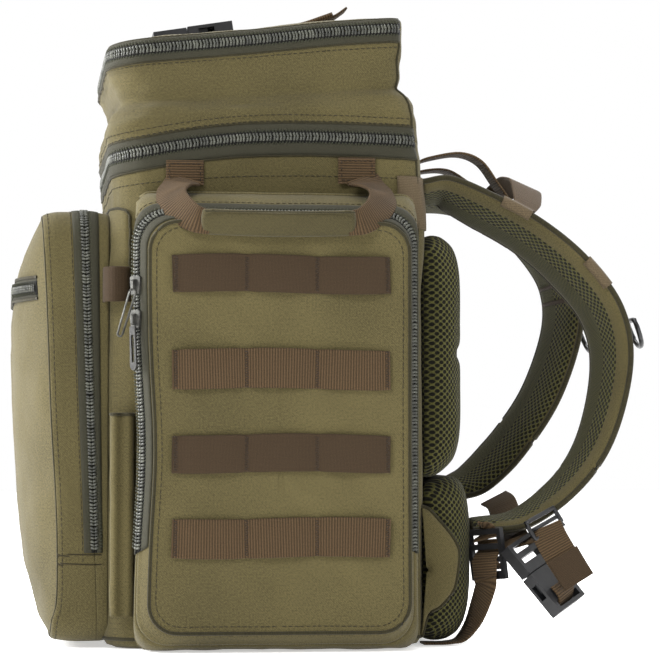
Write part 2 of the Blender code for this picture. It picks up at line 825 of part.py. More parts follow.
def strap_rings(points, tilts, side_y):
    """Cross-sections of a shoulder strap from its near outer edge line."""
    path = smooth_path([(x, y, z) for (x, z), y in zip(points, side_y)], 3)
    count = len(path)
    rings = []
    for i, (spot, along) in enumerate(zip(path, directions(path))):
        place = i / (count - 1) * (len(tilts) - 1)
        low = min(int(place), len(tilts) - 2)
        tilt = math.radians(tilts[low] + (tilts[low + 1] - tilts[low]) * (place - low))
        inward = Vector((along.z, 0, -along.x)).normalized()
        side = Vector((0, math.cos(tilt), 0)) + inward * math.sin(tilt)
        side = (side - side.dot(along) * along).normalized()
        down = along.cross(side).normalized()
        if down.dot(inward) < 0:
            down = -down
        fade = min(1.0, (count - 1 - i) / 5.0 + 0.55)
        width = STRAP_WIDTH * fade
        spot = spot + side * (STRAP_WIDTH - width) / 2
        soft = 2.5
        section = [
            (soft, 0), (width - soft, 0), (width, soft), (width, STRAP_THICK - soft),
            (width - soft, STRAP_THICK), (soft, STRAP_THICK), (0, STRAP_THICK - soft), (0, soft),
        ]
        rings.append([spot + side * u + down * v for u, v in section])
    return rings


NEAR_STRAP = [
    (STRAP_START_X, 341), (140, 343.5), (171, 331), (208, 311), (242, 283),
    (268, 247), (275, 205), (262, 152), (237, 116), (198, 89.5), (156, 85),
]
NEAR_STRAP_Y = [-88, -90, -93, -96, -97, -97, -97, -97, -97, -97, -97]
NEAR_TILT = [10, 13, 13, 8, 3, 2]
FAR_STRAP = [
    (STRAP_START_X, 341), (140, 348), (175, 348), (214, 333), (243, 308),
    (263, 276), (266, 236), (249, 184), (222, 143), (192, 112), (168, 101),
]
FAR_STRAP_Y = [28, 29, 30, 31, 32, 32, 32, 32, 32, 32, 32]
FAR_TILT = [8, 10, 12, 13, 15, 20]


def shoulder_straps():
    loft("shoulder_strap_near", strap_rings(NEAR_STRAP, NEAR_TILT, NEAR_STRAP_Y), mesh_fabric)
    loft("shoulder_strap_far", strap_rings(FAR_STRAP, FAR_TILT, FAR_STRAP_Y), mesh_fabric)


def top_webbing():
    """Load lifters from the bag's top to the straps, and the grab handle between them."""
    ribbon(
        "load_lifter_near",
        [
            (116.6, -60, 352), (128, -60, 356.5), (150, -60, 360),
            (166, -60, 354), (178, -60, 337), (188, -60, 328),
        ],
        (0, 1, 0), webbing, WEB_WIDTH, WEB, 2,
    )
    ribbon(
        "load_lifter_far",
        [(116.6, 60, 352), (128, 60, 356.5), (146, 60, 361), (162, 60, 360.5), (176, 60, 352)],
        (0, 1, 0), webbing, WEB_WIDTH, WEB, 2,
    )
    ribbon(
        "grab_handle",
        [(200, -66, 324), (204, -50, 330), (208, -25, 340), (209, 0, 345), (207, 20, 347), (203, 45, 345)],
        [(1, 0, -0.5), (1, 0, -0.35)], webbing, WEB_WIDTH, WEB, 2,
    )


def ladder_lock(name, matrix, pivot):
    body = block(name, (0, -16, -2), (37, 16, 2), plastic, pivot, matrix)
    for i, (start, stop) in enumerate(((4, 11), (15, 20.5), (24.5, 31))):
        slot = block(f"{name}.slot{i}", (start, -12.8, -6), (stop, 12.8, 6), plastic, (0, 0, 0), matrix)
        combine(body, slot, "DIFFERENCE")
    return body


def lower_webbing(side, label):
    """Adjuster webbing from under the lumbar pad up to the ladder-lock's lower bar."""
    y = side * 88
    matrix = axes_matrix((163, -93, 84), (0.12, 0, -0.99), (0.62, -0.78, 0.1))
    if side > 0:
        matrix = axes_matrix((166, 62, 92), (-0.1, 0.35, -0.93), (0.3, 0.95, 0.2))
    ladder_lock(f"ladder_lock_{label}", matrix, matrix.translation)
    across = matrix.col[1].to_3d()
    low = matrix @ Vector((22.25, 0, 4.0))
    bend = matrix @ Vector((34, 0, 5.4))
    ribbon(
        f"adjuster_webbing_{label}",
        [(118, y, 1.4), (136, y, 1.4), (147, y, 5), (156, y, 18), bend + Vector((0, 0, -8)), bend, low],
        [Vector((0, 1, 0)), across if across.y > 0 else -across], webbing, WEB_WIDTH - 1, WEB, 2,
    )


def d_ring(name, pivot, hang):
    """A D of round rod whose straight side lies along y, hanging from the pivot."""
    rod = 1.9
    half = 12.0
    down = Vector(hang).normalized()
    out = Vector((0, 1, 0))
    spots = [out * -half, out * half]
    for step in range(7):
        turn = math.pi * step / 6
        spots.append(out * half * math.cos(turn) + down * (9 + half * math.sin(turn)))
    normal = out.cross(down)
    rings = []
    count = len(spots)
    for i, spot in enumerate(spots):
        along = (spots[(i + 1) % count] - spots[i - 1]).normalized()
        flat = normal.cross(along).normalized()
        ring = []
        for step in range(6):
            turn = 2 * math.pi * step / 6
            offset = flat * math.cos(turn) * rod + normal * math.sin(turn) * rod
            ring.append(Vector(pivot) + spot + offset)
        rings.append(ring)
    loft(name, rings, metal, pivot, ring_closed=True)


def chest_strap():
    along = (0.60, -0.22, -0.77)
    across = (0.62, 0.68, 0.39)
    origin = Vector((200.5, -108, 55))
    matrix = axes_matrix(origin, along, across)
    buckle_female("sternum_buckle_female", matrix, origin)
    buckle_male("sternum_buckle_male", matrix, origin)
    male_end = matrix @ Vector((-27.5, 0, 0))
    ribbon(
        "sternum_webbing",
        [(193, 30, 104), (195, 8, 99), (194, -22, 85), (190, -60, 76), (186, -84, 77), male_end],
        [(1, 0, 0.5), across], webbing, 23.0, WEB, 2,
    )
    ribbon(
        "sternum_tail",
        [(205, -109, 86), (208, -115, 77), (213, -120, 67), (219, -123, 57), (225, -124.5, 47.5)],
        (0.74, 0.05, 0.67), webbing, 23.0, WEB, 3,
    )


def tool_holder():
    """A webbing loop and a fabric sleeve on the corner beside the front pocket."""
    loop = [
        (-99.5, -112.2, 259), (-102, -117.5, 259), (-108, -118.5, 259),
        (-113.3, -112, 259), (-113, -103, 259),
    ]
    ribbon("tool_loop", loop, (0, 0, 1), webbing, 25.0, WEB, 2)
    outer = rounded_rectangle((-112.5, -123), (-99.5, -112.3), (4, 4, 1, 4))
    inner = rounded_rectangle((-110.7, -121.2), (-101.3, -114.1), (2.4, 2.4, 1, 2.4))
    rings = [level(outer, 24), level(outer, 166), level(inner, 166), level(inner, 27)]
    loft("tool_sleeve", rings, fabric)


def build():
    clear_scene()
    main_body()
    main_zip_halves()
    upper_box()
    lid()
    lid_strap()
    front_pocket()
    near_hinge = side_pocket(-1, "near", True)
    side_pocket(1, "far", False)
    webbing_rows(-1, "near", near_hinge)
    handle(-1, "near", True)
    handle(1, "far", False)
    near_sliders()
    far_sliders()
    back_padding()
    shoulder_straps()
    top_webbing()
    lower_webbing(-1, "near")
    lower_webbing(1, "far")
    d_ring("d_ring_near", (279.2, -66, 238), (0.35, 0, -0.94))
    d_ring("d_ring_far", (270.5, 63, 240), (0.35, 0, -0.94))
    chest_strap()
    tool_holder()


build()
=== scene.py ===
"""Looks of the tackle backpack: fabric shells, padding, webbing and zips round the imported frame.

Lengths are in millimetres and turn into metres when a mesh is made. +Z is up, +X points to the
wearer's back and -Y is the near side.
"""

import math

import bpy
import numpy as np
from mathutils import Matrix, Vector, noise


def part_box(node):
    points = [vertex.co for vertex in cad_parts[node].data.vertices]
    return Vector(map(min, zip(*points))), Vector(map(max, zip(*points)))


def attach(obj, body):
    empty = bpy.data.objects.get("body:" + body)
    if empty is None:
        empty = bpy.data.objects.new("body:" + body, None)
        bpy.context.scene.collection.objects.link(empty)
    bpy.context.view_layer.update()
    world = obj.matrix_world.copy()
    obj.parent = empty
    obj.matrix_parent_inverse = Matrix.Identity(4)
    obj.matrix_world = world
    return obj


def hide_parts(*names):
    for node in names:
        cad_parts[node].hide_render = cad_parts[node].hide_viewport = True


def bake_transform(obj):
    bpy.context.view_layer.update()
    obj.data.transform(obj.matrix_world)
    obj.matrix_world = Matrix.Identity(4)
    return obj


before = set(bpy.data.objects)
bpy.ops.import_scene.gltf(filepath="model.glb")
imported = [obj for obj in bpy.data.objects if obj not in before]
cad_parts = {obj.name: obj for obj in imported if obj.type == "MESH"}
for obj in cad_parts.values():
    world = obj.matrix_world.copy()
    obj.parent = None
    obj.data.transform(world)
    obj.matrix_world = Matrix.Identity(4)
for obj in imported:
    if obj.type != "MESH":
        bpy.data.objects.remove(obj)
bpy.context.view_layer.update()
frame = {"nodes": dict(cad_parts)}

MM = 0.001
INSIDE = Vector((0, 0, 200))
WEB = 1.7  # thickness of the brown webbing
CHAIN_PITCH = 2.4
SIDES = ((-1, "near"), (1, "far"))


# ---------------------------------------------------------------- small tools
def hermite(a, b, slope_a, slope_b, t):
    """A cubic step from a to b with the given slopes at its ends."""
    return (
        (2 * t**3 - 3 * t**2 + 1) * a
        + (t**3 - 2 * t**2 + t) * slope_a
        + (3 * t**2 - 2 * t**3) * b
        + (t**3 - t**2) * slope_b
    )


def through(points):
    """A smooth law through (x, value) pairs."""

    def law(x):
        if x <= points[0][0]:
            return points[0][1]
        if x >= points[-1][0]:
            return points[-1][1]
        i = max(k for k in range(len(points) - 1) if points[k][0] <= x)
        before = points[max(i - 1, 0)]
        a, b = points[i], points[i + 1]
        after = points[min(i + 2, len(points) - 1)]
        span = b[0] - a[0]
        slope_a = (b[1] - before[1]) / (b[0] - before[0]) * span
        slope_b = (after[1] - a[1]) / (after[0] - a[0]) * span
        return hermite(a[1], b[1], slope_a, slope_b, (x - a[0]) / span)

    return law


def between(values, share):
    """The number part way along a list, share going from 0 to 1."""
    place = share * (len(values) - 1)
    low = min(int(place), len(values) - 2)
    return values[low] + (values[low + 1] - values[low]) * (place - low)


def smooth_path(points, steps=6):
    """A Catmull-Rom curve through the points."""
    spots = [Vector(p) for p in points]
    spots = [2 * spots[0] - spots[1]] + spots + [2 * spots[-1] - spots[-2]]
    path = []
    for i in range(1, len(spots) - 2):
        p, a, b, q = spots[i - 1 : i + 3]
        for step in range(steps):
            t = step / steps
            curve = 2 * a + (b - p) * t + (2 * p - 5 * a + 4 * b - q) * t**2
            path.append(0.5 * (curve + (3 * a - p - 3 * b + q) * t**3))
    path.append(spots[-2])
    return path


def swollen(value, power):
    """A sine or cosine raised to a power with its sign kept, for boxy or lens-like rings."""
    return math.copysign(abs(value) ** power, value)


def tangents(path, closed=False):
    last = len(path) - 1
    if closed:
        return [(path[(i + 1) % len(path)] - path[i - 1]).normalized() for i in range(len(path))]
    return [(path[min(i + 1, last)] - path[max(i - 1, 0)]).normalized() for i in range(last + 1)]


def axes_matrix(origin, along, across):
    """Local x along, local y across and local z out of both, moved to origin."""
    x = Vector(along).normalized()
    y = (Vector(across) - Vector(across).dot(x) * x).normalized()
    turn = Matrix((x, y, x.cross(y))).transposed().to_4x4()
    return Matrix.Translation(origin) @ turn


def rough(x, y, z, seed=0.0):
    return noise.noise(Vector((x + seed, y - seed, z + 2 * seed)))


# ---------------------------------------------------------------- meshes
def box_uv(mesh):
    """Cloth coordinates in millimetres, laid flat on the axis plane that each face faces."""
    loops = len(mesh.loops)
    corner = np.empty(loops, np.int32)
    mesh.loops.foreach_get("vertex_index", corner)
    spots = np.empty(len(mesh.vertices) * 3, np.float32)
    mesh.vertices.foreach_get("co", spots)
    spots = spots.reshape(-1, 3)[corner] / MM
    normals = np.empty(len(mesh.polygons) * 3, np.float32)
    mesh.polygons.foreach_get("normal", normals)
    sizes = np.empty(len(mesh.polygons), np.int32)
    mesh.polygons.foreach_get("loop_total", sizes)
    facing = np.repeat(np.abs(normals.reshape(-1, 3)).argmax(1), sizes)
    first = np.where(facing == 0, spots[:, 1], spots[:, 0])
    second = np.where(facing == 2, spots[:, 1], spots[:, 2])
    put_uv(mesh, np.stack([first, second], 1))


def put_uv(mesh, values):
    layer = mesh.uv_layers.get("cloth") or mesh.uv_layers.new(name="cloth")
    layer.data.foreach_set("uv", np.asarray(values, np.float32).ravel())


def vertex_uv(mesh, values):
    corner = np.empty(len(mesh.loops), np.int32)
    mesh.loops.foreach_get("vertex_index", corner)
    put_uv(mesh, np.asarray(values, np.float32)[corner])


def piece(name, points, faces, looks, uv=None, inside=None, choice=None):
    """A smooth mesh object whose faces point away from inside, or out of its own volume."""
    mesh = bpy.data.meshes.new(name)
    mesh.from_pydata([Vector(p) * MM for p in points], [], faces)
    start = Vector(inside) * MM if inside is not None else Vector()
    total = sum((f.center - start).dot(f.normal) * f.area for f in mesh.polygons)
    if total < 0:
        mesh.flip_normals()
    mesh.update()
    if uv is None:
        box_uv(mesh)
    else:
        vertex_uv(mesh, uv)
    for look in looks if isinstance(looks, (list, tuple)) else [looks]:
        mesh.materials.append(look)
    if choice:
        mesh.polygons.foreach_set("material_index", choice)
    mesh.polygons.foreach_set("use_smooth", [True] * len(mesh.polygons))
    item = bpy.data.objects.new(name, mesh)
    bpy.context.scene.collection.objects.link(item)
    return item


def settle(item, body, stand_for=(), bend=None):
    """Tie a finished piece to its body; a piece given a bend only has its transform baked in."""
    if bend:
        Vector(bend[2]) * MM
        Vector(bend[3]) * MM
        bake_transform(item)
    else:
        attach(item, body)
    if stand_for:
        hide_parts(*stand_for)
    return item


def apply_modifiers(item):
    depsgraph = bpy.context.evaluated_depsgraph_get()
    mesh = bpy.data.meshes.new_from_object(item.evaluated_get(depsgraph))
    item.modifiers.clear()
    item.data = mesh


def grid(name, rows, looks, around=False, fans=(), inside=INSIDE, thick=0.0, choice=None):
    """Skin rows of points; fans closes the first or last row round its middle."""
    count = len(rows[0])
    points = [p for row in rows for p in row]
    faces = []
    for i in range(len(rows) - 1):
        for j in range(count if around else count - 1):
            k = (j + 1) % count
            faces.append((i * count + j, i * count + k, (i + 1) * count + k, (i + 1) * count + j))
    for end in fans:
        row = rows[0] if end == "first" else rows[-1]
        start = 0 if end == "first" else (len(rows) - 1) * count
        points.append(sum((Vector(p) for p in row), Vector()) / count)
        for j in range(count):
            ends = (start + (j + 1) % count, start + j)
            faces.append((ends if end == "first" else ends[::-1]) + (len(points) - 1,))
    item = piece(name, points, faces, looks, inside=inside, choice=choice)
    if thick:
        solid = item.modifiers.new("thickness", "SOLIDIFY")
        solid.thickness = thick * MM
        solid.offset = -1
        solid.use_even_offset = False
        solid.material_offset = len(item.data.materials) - 1
        apply_modifiers(item)
    return item


def web_section(width, thick):
    """A strip's cross-section with soft edges."""
    half, deep = width / 2, thick / 2
    side = [(-half, 0), (-half + 0.3, -deep * 0.8), (-half + 1, -deep)]
    side += [(half - 1, -deep), (half - 0.3, -deep * 0.8), (half, 0)]
    return side + [(u, -v) for u, v in side[-2:0:-1]]


def sweep(name, path, across, sections, looks, pick=None, closed=False, caps=True):
    """Run cross-sections of (across, up) points along a path."""
    points, uv = [], []
    ways = tangents(path, closed)
    travelled = 0.0
    for i, (spot, along) in enumerate(zip(path, ways)):
        side = (across[i] - across[i].dot(along) * along).normalized()
        up = side.cross(along).normalized()
        if i:
            travelled += (spot - path[i - 1]).length
        for u, v in sections[i]:
            points.append(spot + side * u + up * v)
            uv.append((u, travelled))
    count = len(sections[0])
    faces, choice = [], []
    for i in range(len(path) if closed else len(path) - 1):
        there = (i + 1) % len(path) * count
        for j in range(count):
            k = (j + 1) % count
            faces.append((i * count + j, i * count + k, there + k, there + j))
            choice.append(pick(i, sections[i][j], sections[i][k]) if pick else 0)
    if caps and not closed:
        faces.append(tuple(range(count)))
        faces.append(tuple((len(path) - 1) * count + j for j in range(count)))
        choice += [choice[0], choice[-1]]
    return piece(name, points, faces, looks, uv=uv, choice=choice)


def spread(values, count):
    """Directions at a path's control points, carried to each point of the smooth path."""
    if not isinstance(values, list):
        return [Vector(values)] * count
    spots = [Vector(v) for v in values]
    result = []
    for i in range(count):
        place = i / (count - 1) * (len(spots) - 1)
        low = min(int(place), len(spots) - 2)
        result.append(spots[low].lerp(spots[low + 1], place - low))
    return result


def ribbon(name, points, across, look, width=25.0, thick=WEB, steps=8, widths=None):
    """Webbing along a smooth path through the points."""
    path = smooth_path(points, steps)
    last = len(path) - 1
    wide = [between(widths, i / last) if widths else width for i in range(last + 1)]
    sections = [web_section(w, thick) for w in wide]
    return sweep(name, path, spread(across, len(path)), sections, look)


def webbing(name, points, across, body, nodes=(), look=None, bend=None, **shape):
    """A ribbon of brown webbing tied to its body."""
    item = ribbon(name, points, across, look or BROWN, **shape)
    return settle(item, body, nodes, bend)


def tube(name, path, radius, look, closed=False, sides=8):
    across = []
    for along in tangents(path, closed):
        guide = Vector((0, 0, 1)) if abs(along.z) < 0.8 else Vector((1, 0, 0))
        across.append(along.cross(guide))
    turns = [2 * math.pi * k / sides for k in range(sides)]
    section = [(radius * math.cos(t), radius * math.sin(t)) for t in turns]
    return sweep(name, path, across, [section] * len(path), look, closed=closed)


def edging(name, path, radius, body, look=None, bend=None, **shape):
    """Piping or a seam's edge along a path, tied to its body; by default in the darkened olive that
    paints seam shade.
    """
    item = tube(name, path, radius, look or FABRIC_SEAM_SHADE, **shape)
    return settle(item, body, bend=bend)


def lozenges(name, marks, look, radius, sides=6):
    """Many small spindles in one mesh; marks are (start, end, up, squash, fatness, look number)."""
    points, faces, uv, choice = [], [], [], []
    for start, end, up, flat, fat, which in marks:
        along = (end - start).normalized()
        side = along.cross(up).normalized()
        top = side.cross(along)
        length = (end - start).length
        base = len(points)
        for share, size in ((0.0, 0.45), (0.18, 1.0), (0.82, 1.0), (1.0, 0.45)):
            for k in range(sides):
                turn = 2 * math.pi * k / sides
                offset = side * math.cos(turn) + top * math.sin(turn) * flat
                points.append(start + along * length * share + offset * radius * fat * size)
                uv.append((length * share, k))
        for i in range(3):
            for k in range(sides):
                n = (k + 1) % sides
                row, after = base + i * sides, base + (i + 1) * sides
                faces.append((row + k, row + n, after + n, after + k))
        faces.append(tuple(base + k for k in reversed(range(sides))))
        faces.append(tuple(base + 3 * sides + k for k in range(sides)))
        choice += [which] * (3 * sides + 2)
    return piece(name, points, faces, look, uv=uv, choice=choice)


# ---------------------------------------------------------------- skins
class Skin:
    """A surface through a stack of closed rings: s goes round from 0 to 1, w counts rings."""

    def __init__(self, rings, inside=INSIDE):
        self.rings = rings
        self.inside = Vector(inside)

    def at(self, s, w):
        w = min(max(w, 0.0), len(self.rings) - 1.0)
        low = min(int(w), len(self.rings) - 2)
        count = len(self.rings[0])
        place = (s % 1.0) * count
        j = int(place) % count
        k = (j + 1) % count
        t = place - int(place)
        here = self.rings[low][j].lerp(self.rings[low][k], t)
        above = self.rings[low + 1][j].lerp(self.rings[low + 1][k], t)
        return here.lerp(above, w - low)

    def normal(self, s, w):
        step = 1.5 / len(self.rings[0])
        around = self.at(s + step, w) - self.at(s - step, w)
        rise = self.at(s, w + 0.6) - self.at(s, w - 0.6)
        out = around.cross(rise).normalized()
        return out if out.dot(self.at(s, w) - self.inside) > 0 else -out

    def lifted(self, s, w, lift):
        return self.at(s, w) + self.normal(s, w) * lift

    def strip(self, name, s_range, w_range, lift, look, thick=1.1, around=False):
        """A band of tape on the surface, a little proud of it."""
        count = len(self.rings[0])
        steps = max(int(abs(s_range[1] - s_range[0]) * count), 2)
        if around:
            shares = [k / count for k in range(count)]
        else:
            shares = [s_range[0] + (s_range[1] - s_range[0]) * k / steps for k in range(steps + 1)]
        spans = 4
        rows = []
        for i in range(spans + 1):
            w = w_range[0] + (w_range[1] - w_range[0]) * i / spans
            crown = lift + 0.5 * math.sin(math.pi * i / spans)
            rows.append([self.lifted(s, w, crown) for s in shares])
        return grid(name, rows, look, around=around, inside=self.inside, thick=thick)

    def march(self, s_range, w, pitch):
        """Evenly spaced (point, tangent, normal) along a ring."""
        steps = 1200
        shares = [s_range[0] + (s_range[1] - s_range[0]) * k / steps for k in range(steps + 1)]
        spots = [self.at(s, w) for s in shares]
        found, travelled = [], 0.0
        for k in range(1, steps):
            travelled += (spots[k] - spots[k - 1]).length
            if travelled >= pitch:
                travelled -= pitch
                along = (spots[k + 1] - spots[k - 1]).normalized()
                found.append((spots[k], along, self.normal(shares[k], w)))
        return found

    def stitches(self, name, s_range, w, look, length=2.8, gap=1.3, lift=0.15, radius=0.36):
        marks = []
        for spot, along, out in self.march(s_range, w, length + gap):
            spot = spot + out * lift
            marks.append((spot - along * length / 2, spot + along * length / 2, out, 0.8, 1.0, 0))
        return lozenges(name, marks, look, radius, 5)


def coil(name, spots, sign, reach=5.8, pitch=CHAIN_PITCH, lift=1.2):
    """Slanted coil teeth beside the chain's middle line, and the thread that holds them down."""
    marks = []
    for spot, along, out in spots:
        side = out.cross(along).normalized() * sign
        start = spot + out * lift - side * 0.3
        end = spot + out * (lift - 0.1) + side * reach * 0.52 + along * pitch * 0.42
        marks.append((start, end, out, 0.8, 1.0, 0))
        start = spot + out * (lift - 0.4) + side * reach * 0.6 + along * pitch * 0.45
        end = spot + out * (lift - 0.8) + side * reach + along * pitch * 0.75
        marks.append((start, end, out, 0.8, 0.8, 1))
    return lozenges(name, marks, [COIL, COIL_THREAD], pitch * 0.4)


def chain(name, skin, s_range, w, bodies, reach=5.8, sign=1):
    """Both rows of teeth of a zip; the first body is the one below or behind."""
    rows = skin.march(s_range, w, CHAIN_PITCH)
    for label, body, way in (("a", bodies[0], sign), ("b", bodies[1], -sign)):
        settle(coil(f"{name}_teeth_{label}", rows, way, reach), body)


def tapes(name, skin, s_range, bands):
    """Zip tapes and the near-black strips under the teeth, painted shade for the gaps between them:
    tag, from, to, look, lift, body, nodes.
    """
    for tag, first, last, look, lift, body, nodes in bands:
        band = skin.strip(f"{name}_{tag}", s_range, (first, last), lift, look)
        settle(band, body, nodes)


def sew(name, skin, s_range, w, body, bend=None):
    """A line of stitches along a ring of the skin."""
    settle(skin.stitches(name, s_range, w, THREAD), body, bend=bend)


def round_ring(skin, w, lift, count=220):
    return [skin.lifted(k / count, w, lift) for k in range(count)]


# ---------------------------------------------------------------- materials
class Look:
    """A Principled material with a short way to write its nodes."""

    def __init__(self, name, roughness=0.85, metallic=0.0, sheen=0.0, gloss=0.5):
        self.material = bpy.data.materials.new(name)
        self.material.use_nodes = True
        self.tree = self.material.node_tree
        self.shader = self.tree.nodes["Principled BSDF"]
        self.shader.inputs["Roughness"].default_value = roughness
        self.shader.inputs["Metallic"].default_value = metallic
        self.shader.inputs["Specular IOR Level"].default_value = gloss
        if sheen:
            self.shader.inputs["Sheen Weight"].default_value = sheen
            self.shader.inputs["Sheen Roughness"].default_value = 0.5
        self.uv = self.tree.nodes.new("ShaderNodeUVMap").outputs[0]
        self.uv.node.uv_map = "cloth"
        self.place = self.tree.nodes.new("ShaderNodeTexCoord").outputs["Object"]

    def feed(self, socket, value):
        if isinstance(value, bpy.types.NodeSocket):
            self.tree.links.new(value, socket)
        else:
            socket.default_value = value

    def math(self, operation, a, b=0.0, c=0.0):
        node = self.tree.nodes.new("ShaderNodeMath")
        node.operation = operation
        for socket, value in zip(node.inputs, (a, b, c)):
            self.feed(socket, value)
        return node.outputs[0]

    def vector(self, operation, a, b=(0, 0, 0)):
        node = self.tree.nodes.new("ShaderNodeVectorMath")
        node.operation = operation
        self.feed(node.inputs[0], a)
        self.feed(node.inputs[1], b)
        return node.outputs["Value"] if operation == "LENGTH" else node.outputs["Vector"]

    def split(self, value):
        node = self.tree.nodes.new("ShaderNodeSeparateXYZ")
        self.feed(node.inputs[0], value)
        return node.outputs

    def noise(self, where, scale, detail=3.0, rough_share=0.6):
        node = self.tree.nodes.new("ShaderNodeTexNoise")
        self.feed(node.inputs["Vector"], where)
        node.inputs["Scale"].default_value = scale
        node.inputs["Detail"].default_value = detail
        node.inputs["Roughness"].default_value = rough_share
        return node.outputs["Fac"]

    def ramp(self, value, low, high, out_low=0.0, out_high=1.0):
        node = self.tree.nodes.new("ShaderNodeMapRange")
        node.interpolation_type = "SMOOTHSTEP"
        for socket, number in zip(node.inputs, (value, low, high, out_low, out_high)):
            self.feed(socket, number)
        return node.outputs[0]

    def weigh(self, a, share_a, b, share_b):
        """Two values, each times its share, added up."""
        return self.math("MULTIPLY_ADD", a, share_a, self.math("MULTIPLY", b, share_b))

    def wave(self, value, period):
        """0 to 1 and back once in each period."""
        turned = self.math("MULTIPLY", value, 2 * math.pi / period)
        return self.math("MULTIPLY_ADD", self.math("SINE", turned), 0.5, 0.5)

    def mix(self, share, a, b):
        node = self.tree.nodes.new("ShaderNodeMix")
        node.data_type = "RGBA"
        for index, value in ((0, share), (6, a), (7, b)):
            self.feed(node.inputs[index], value)
        return node.outputs[2]

    def finish(self, colour, height, distance, strength=1.0):
        self.feed(self.shader.inputs["Base Color"], colour)
        bump = self.tree.nodes.new("ShaderNodeBump")
        bump.inputs["Distance"].default_value = distance * MM
        bump.inputs["Strength"].default_value = strength
        self.feed(bump.inputs["Height"], height)
        self.feed(self.shader.inputs["Normal"], bump.outputs[0])
        return self.material


def rgb(red, green, blue):
    """A colour written as it shows on a screen, 0 to 255."""
    return tuple(((c / 255 + 0.055) / 1.055) ** 2.4 for c in (red, green, blue)) + (1.0,)


def cloth(name, dark, light, thread=1.7, sheen=0.08):
    """Coarse polyester: a fine diagonal grain, uneven dye and faint crumples."""
    look = Look(name, 0.85, sheen=sheen, gloss=0.12)
    u, v, _ = look.split(look.uv)
    warp = look.wave(look.math("ADD", u, v), thread)
    weft = look.wave(look.math("SUBTRACT", u, v), thread * 0.6)
    weave = look.weigh(weft, 0.3, warp, 0.7)
    speckle = look.noise(look.uv, 0.8, 3.0)
    cloudy = look.noise(look.place, 7.0, 3.0)
    crumple = look.noise(look.place, 42.0, 3.0)
    tone = look.weigh(weave, 0.16, speckle, 0.85)
    tone = look.math("MULTIPLY_ADD", cloudy, 0.5, look.math("SUBTRACT", tone, 0.2))
    colour = look.mix(look.ramp(tone, 0.12, 0.88), dark, light)
    height = look.weigh(weave, 0.3, speckle, 0.5)
    height = look.math("MULTIPLY_ADD", crumple, 2.6, height)
    return look.finish(colour, height, 0.6, 0.6)


def strap_cloth(name, dark, light, rib=1.9, depth=1.0):
    """Woven webbing with ribs across it."""
    look = Look(name, 0.75, sheen=0.04, gloss=0.1)
    u, v, _ = look.split(look.uv)
    ribs = look.wave(v, rib)
    threads = look.wave(u, 0.9)
    speckle = look.noise(look.uv, 1.3, 2.0)
    weave = look.weigh(ribs, 0.7 * depth, threads, 0.3)
    tone = look.weigh(speckle, 0.6, weave, 0.45)
    colour = look.mix(look.ramp(tone, 0.2, 0.85), dark, light)
    return look.finish(colour, weave, 0.5, 0.8)


def tape_cloth(name, dark, light):
    look = Look(name, 0.7, sheen=0.03, gloss=0.15)
    u, v, _ = look.split(look.uv)
    grain = look.math("MULTIPLY", look.wave(u, 0.8), look.wave(v, 0.8))
    speckle = look.noise(look.uv, 1.5, 2.0)
    tone = look.weigh(speckle, 0.6, grain, 0.4)
    colour = look.mix(look.ramp(tone, 0.15, 0.8), dark, light)
    return look.finish(colour, grain, 0.3, 0.6)


def holes(look, wide, tall, radius, soft):
    """1 in the holes of a honeycomb mesh laid out in cloth coordinates, 0 on its threads."""
    size = (wide, tall, 1.0)
    cell = look.vector("DIVIDE", look.vector("MULTIPLY", look.uv, (1, 1, 0)), size)
    near = None
    for shift in (0.0, 0.5):
        part = look.vector("FRACTION", look.vector("ADD", cell, (shift, shift, 0)))
        part = look.vector("MULTIPLY", look.vector("SUBTRACT", part, (0.5, 0.5, 0)), size)
        part = look.vector("MULTIPLY", part, (1, 1, 0))
        reach = look.vector("LENGTH", part)
        near = reach if near is None else look.math("MINIMUM", near, reach)
    return look.ramp(near, radius - soft, radius + soft, 1.0, 0.0)


def spacer(name, thread, hole, wide, tall, fine_from=None):
    """Spacer mesh: honeycomb holes, or past fine_from across the strap close fine ribs."""
    look = Look(name, 0.9, sheen=0.05, gloss=0.2)
    u = look.split(look.uv)[0]
    open_share = holes(look, wide, tall, min(wide, tall) * 0.30, 0.35)
    if fine_from is not None:
        small = holes(look, wide * 0.42, tall * 0.42, tall * 0.12, 0.2)
        past = look.ramp(u, fine_from - 0.5, fine_from + 0.5)
        rest = look.math("SUBTRACT", 1.0, past)
        coarse = look.math("MULTIPLY", open_share, rest)
        open_share = look.math("MULTIPLY_ADD", small, past, coarse)
    fuzz = look.noise(look.uv, 1.8, 2.0)
    lit = look.mix(look.ramp(fuzz, 0.3, 0.7), tuple(0.8 * c for c in thread[:3]) + (1,), thread)
    colour = look.mix(open_share, lit, hole)
    height = look.math("SUBTRACT", look.math("MULTIPLY", fuzz, 0.3), open_share)
    return look.finish(colour, height, 1.0, 1.0)


def solid_look(name, dark, light, roughness, metallic=0.0, grain=900.0, depth=0.08):
    """Moulded plastic or plated metal with fine grain and handling marks."""
    look = Look(name, roughness, metallic)
    fine = look.noise(look.place, grain, 2.0)
    marks = look.noise(look.place, 120.0, 4.0, 0.7)
    colour = look.mix(look.ramp(marks, 0.35, 0.7), dark, light)
    return look.finish(colour, fine, depth, 0.7)


